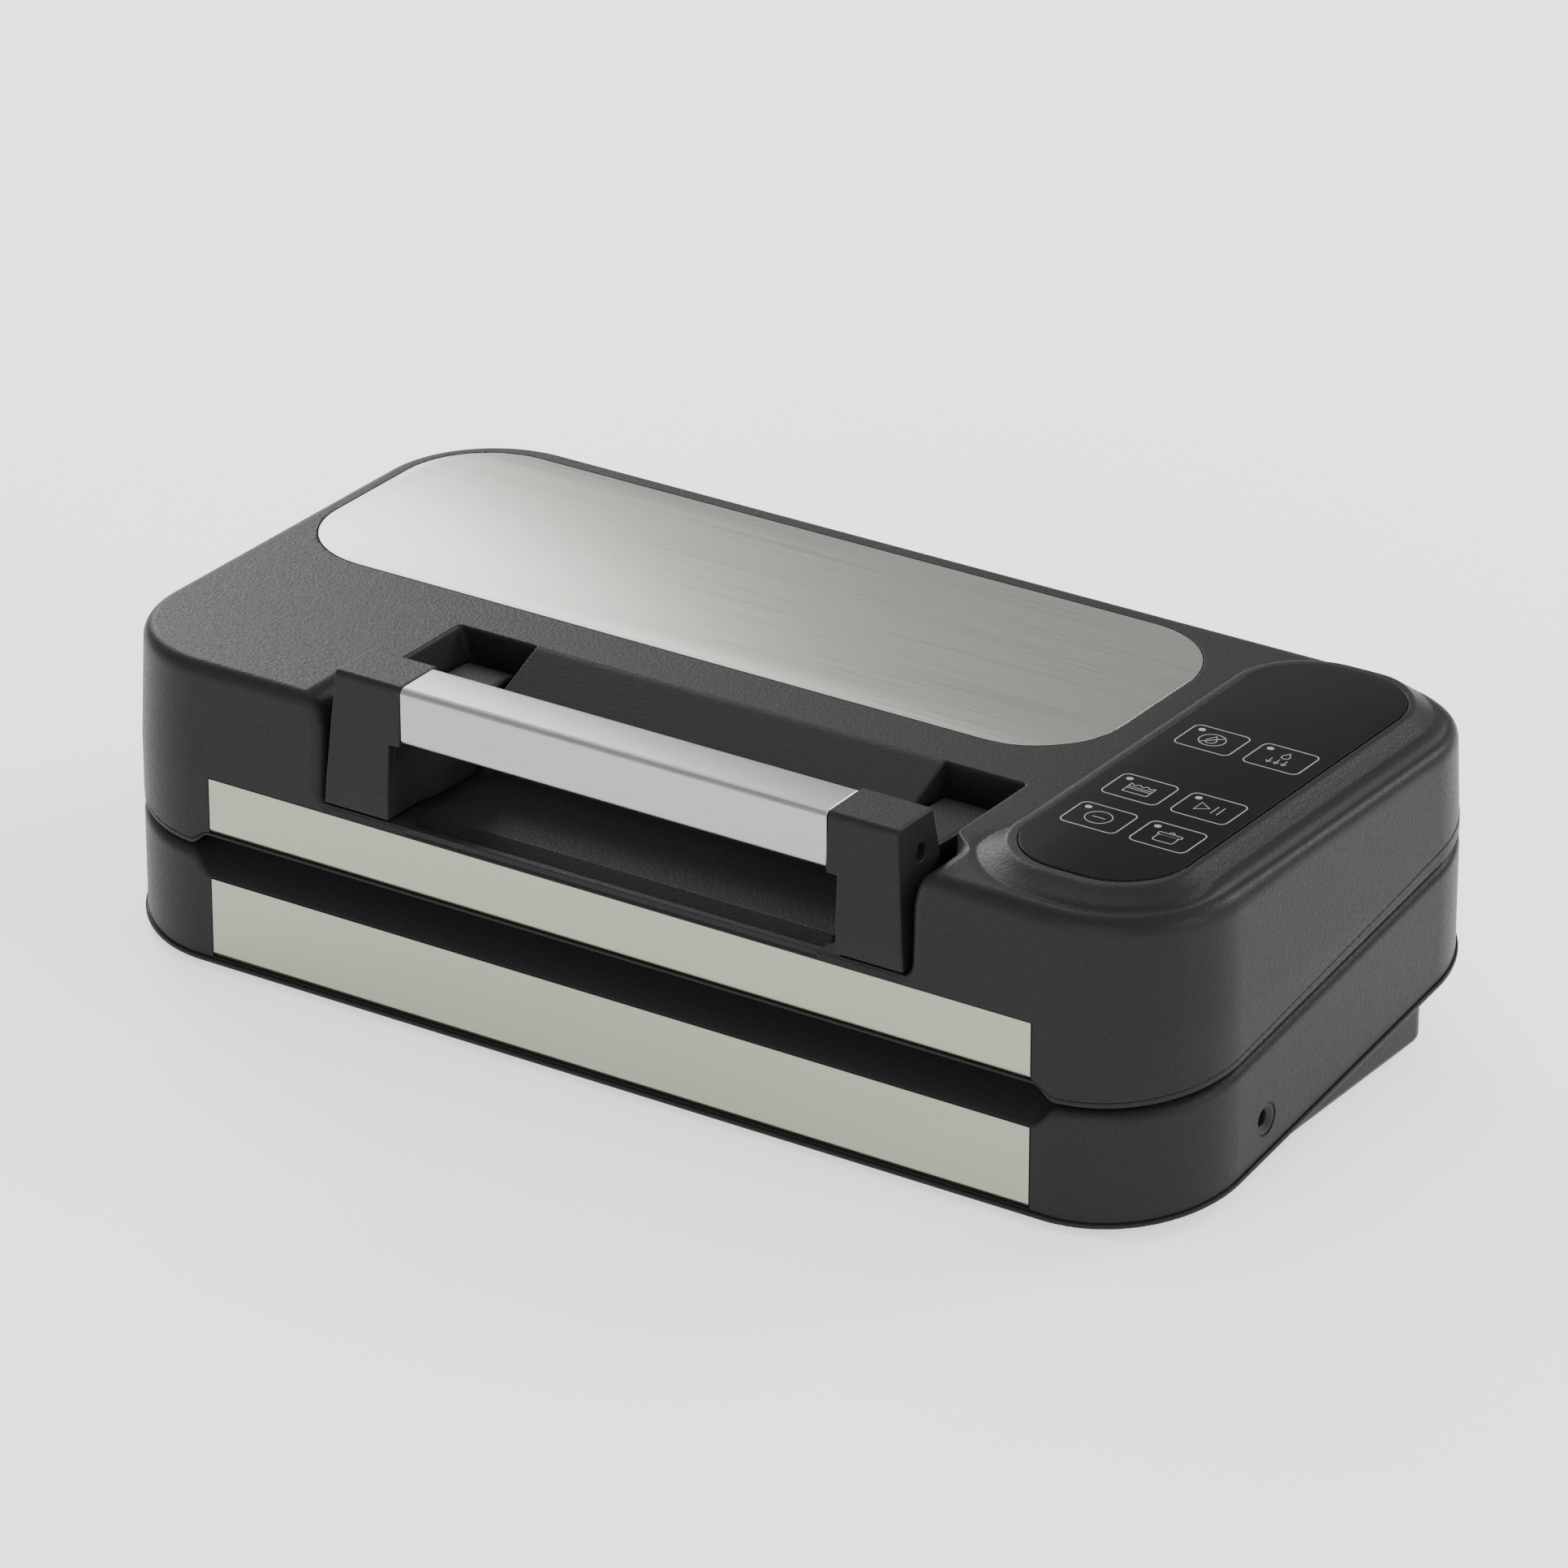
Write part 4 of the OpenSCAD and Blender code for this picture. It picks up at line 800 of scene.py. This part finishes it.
DOT_STEPS = 24
dots, dot_faces = [], []
for cx, cy in keys:
    base = len(dots)
    ux, uy = cx - 6.4, cy + 4.7
    rim = ring_line(ux, uy, 1.15, 1.0, DOT_STEPS)
    for z, scale in ((PRINT_LOW, 1.0), (PRINT_HIGH, 1.0), (PANEL_TOP + 0.12, 0.75)):
        dots += [(ux + (u - ux) * scale, uy + (v - uy) * scale, z) for u, v in rim]
    for low in (base, base + DOT_STEPS):
        dot_faces += [(low + k, low + (k + 1) % DOT_STEPS, low + DOT_STEPS + (k + 1) % DOT_STEPS,
                       low + DOT_STEPS + k) for k in range(DOT_STEPS)]
    dot_faces += [tuple(range(base, base + DOT_STEPS))[::-1],
                  tuple(range(base + 2 * DOT_STEPS, base + 3 * DOT_STEPS))]
mesh = bpy.data.meshes.new("key_dots")
mesh.from_pydata(place(dots).tolist(), [], dot_faces)
mesh.update()
shade_by_angle(add_piece("key_dots", mesh, lamp_dot, "lid", "clear_plastic"), 60)

# ---------------------------------------------------------------- carried-over CAD nodes
# Each node's material and the width of its softened edges in millimetres.
looks = {
    "rubber_feet": (rubber, 0.4), "bottom_screws": (zinc, 0.15), "heater_bar": (inner, 0.4),
    "heating_strip": (copper, 0.05), "ptfe_tape": (tape, 0.04), "heater_terminals": (zinc, 0.2),
    "drip_tray": (clear, 0.3), "lower_gasket": (foam, 0.5), "suction_nozzle": (inner, 0.2),
    "latch_catches": (zinc, 0.3), "hinge_pins": (zinc, 0.2), "hose_port": (rubber, 0.15),
    "port_tube": (clear, 0), "suction_tube": (clear, 0), "release_valve": (inner, 0.4),
    "pump_frame": (inner, 0.6), "pump_head": (inner, 0.6), "pump_rod": (clear, 0.2),
    "pump_grommets": (rubber, 0.4), "motor_can": (zinc, 0.6), "motor_magnets": (rubber, 0.2),
    "motor_shaft": (zinc, 0.2), "motor_armature": (copper, 0.2), "crank": (zinc, 0.3),
    "power_inlet": (rubber, 0.5), "inlet_pins": (zinc, 0.2), "power_board": (board, 0.1),
    "transformer": (yellow, 0.6), "capacitors": (blue, 0.6), "relay": (blue, 0.5),
    "heat_sink": (aluminium, 0.15), "board_screws": (zinc, 0.2), "lid_switch": (rubber, 0.3),
    "switch_plunger": (silicone, 0.25), "panel_board": (board, 0.1), "touch_springs": (zinc, 0.1),
    "key_lamps": (clear, 0.1), "upper_gasket": (foam, 0.5), "pressure_strip": (silicone, 0.6),
    "lid_screws": (zinc, 0.15), "arm_screws": (zinc, 0.2), "latch_shaft": (zinc, 0.3),
    "latch_hooks": (zinc, 0.5),
}
for name, (material, width) in looks.items():
    node = nodes[name]
    for entry in node.material_slots:
        entry.material = material
    if width:
        bevel = node.modifiers.new("edges", "BEVEL")
        bevel.width = width * MM
        bevel.segments = 3
        bevel.limit_method = "ANGLE"
        bevel.angle_limit = math.radians(40)
        bevel.harden_normals = True

# ---------------------------------------------------------------- studio
floor_finish = Finish("studio_floor", Roughness=0.75, Emission_Color=(1, 1, 1, 1), Emission_Strength=1.0)
floor_finish.paint(floor_finish.noise(1.5, 2), (0.4, (0.93, 0.93, 0.93, 1)), (0.6, (0.95, 0.95, 0.95, 1)))
FLOOR = 9                                  # half the floor's side, in metres
mesh = bpy.data.meshes.new("studio_floor")
mesh.from_pydata([(-FLOOR, -FLOOR, 0), (FLOOR, -FLOOR, 0), (FLOOR, FLOOR, 0), (-FLOOR, FLOOR, 0)], [],
                 [(0, 1, 2, 3)])
floor_piece = bpy.data.objects.new("studio_floor", mesh)
mesh.materials.append(floor_finish.material)
scene.collection.objects.link(floor_piece)


def softbox(name, place_at, aim, width, height, power):
    data = bpy.data.lights.new(name, "AREA")
    data.shape = "RECTANGLE"
    data.size, data.size_y = width, height
    data.energy = power
    light = bpy.data.objects.new(name, data)
    scene.collection.objects.link(light)
    light.location = place_at
    light.rotation_euler = (Vector(aim) - Vector(place_at)).to_track_quat("-Z", "Y").to_euler()


softbox("overhead", (-0.5, 0.3, 2.2), (0, 0, 0.05), 1.6, 1.2, 13)
softbox("rear_left", (-2.0, 1.5, 1.25), (-0.05, 0.05, 0.1), 1.2, 1.2, 39)
softbox("front_fill", (0.4, -2.4, 0.75), (0, 0, 0.06), 1.6, 1.0, 21)
softbox("right_fill", (2.2, 0.1, 1.0), (0.1, 0, 0.06), 0.7, 0.8, 20)
softbox("rear_right", (1.15, 1.85, 1.4), (0.15, 0, 0.1), 0.9, 0.7, 36)

world = bpy.data.worlds.new("world")
scene.world = world
world.use_nodes = True
world.node_tree.nodes["Background"].inputs["Color"].default_value = (1, 1, 1, 1)
world.node_tree.nodes["Background"].inputs["Strength"].default_value = 0.66
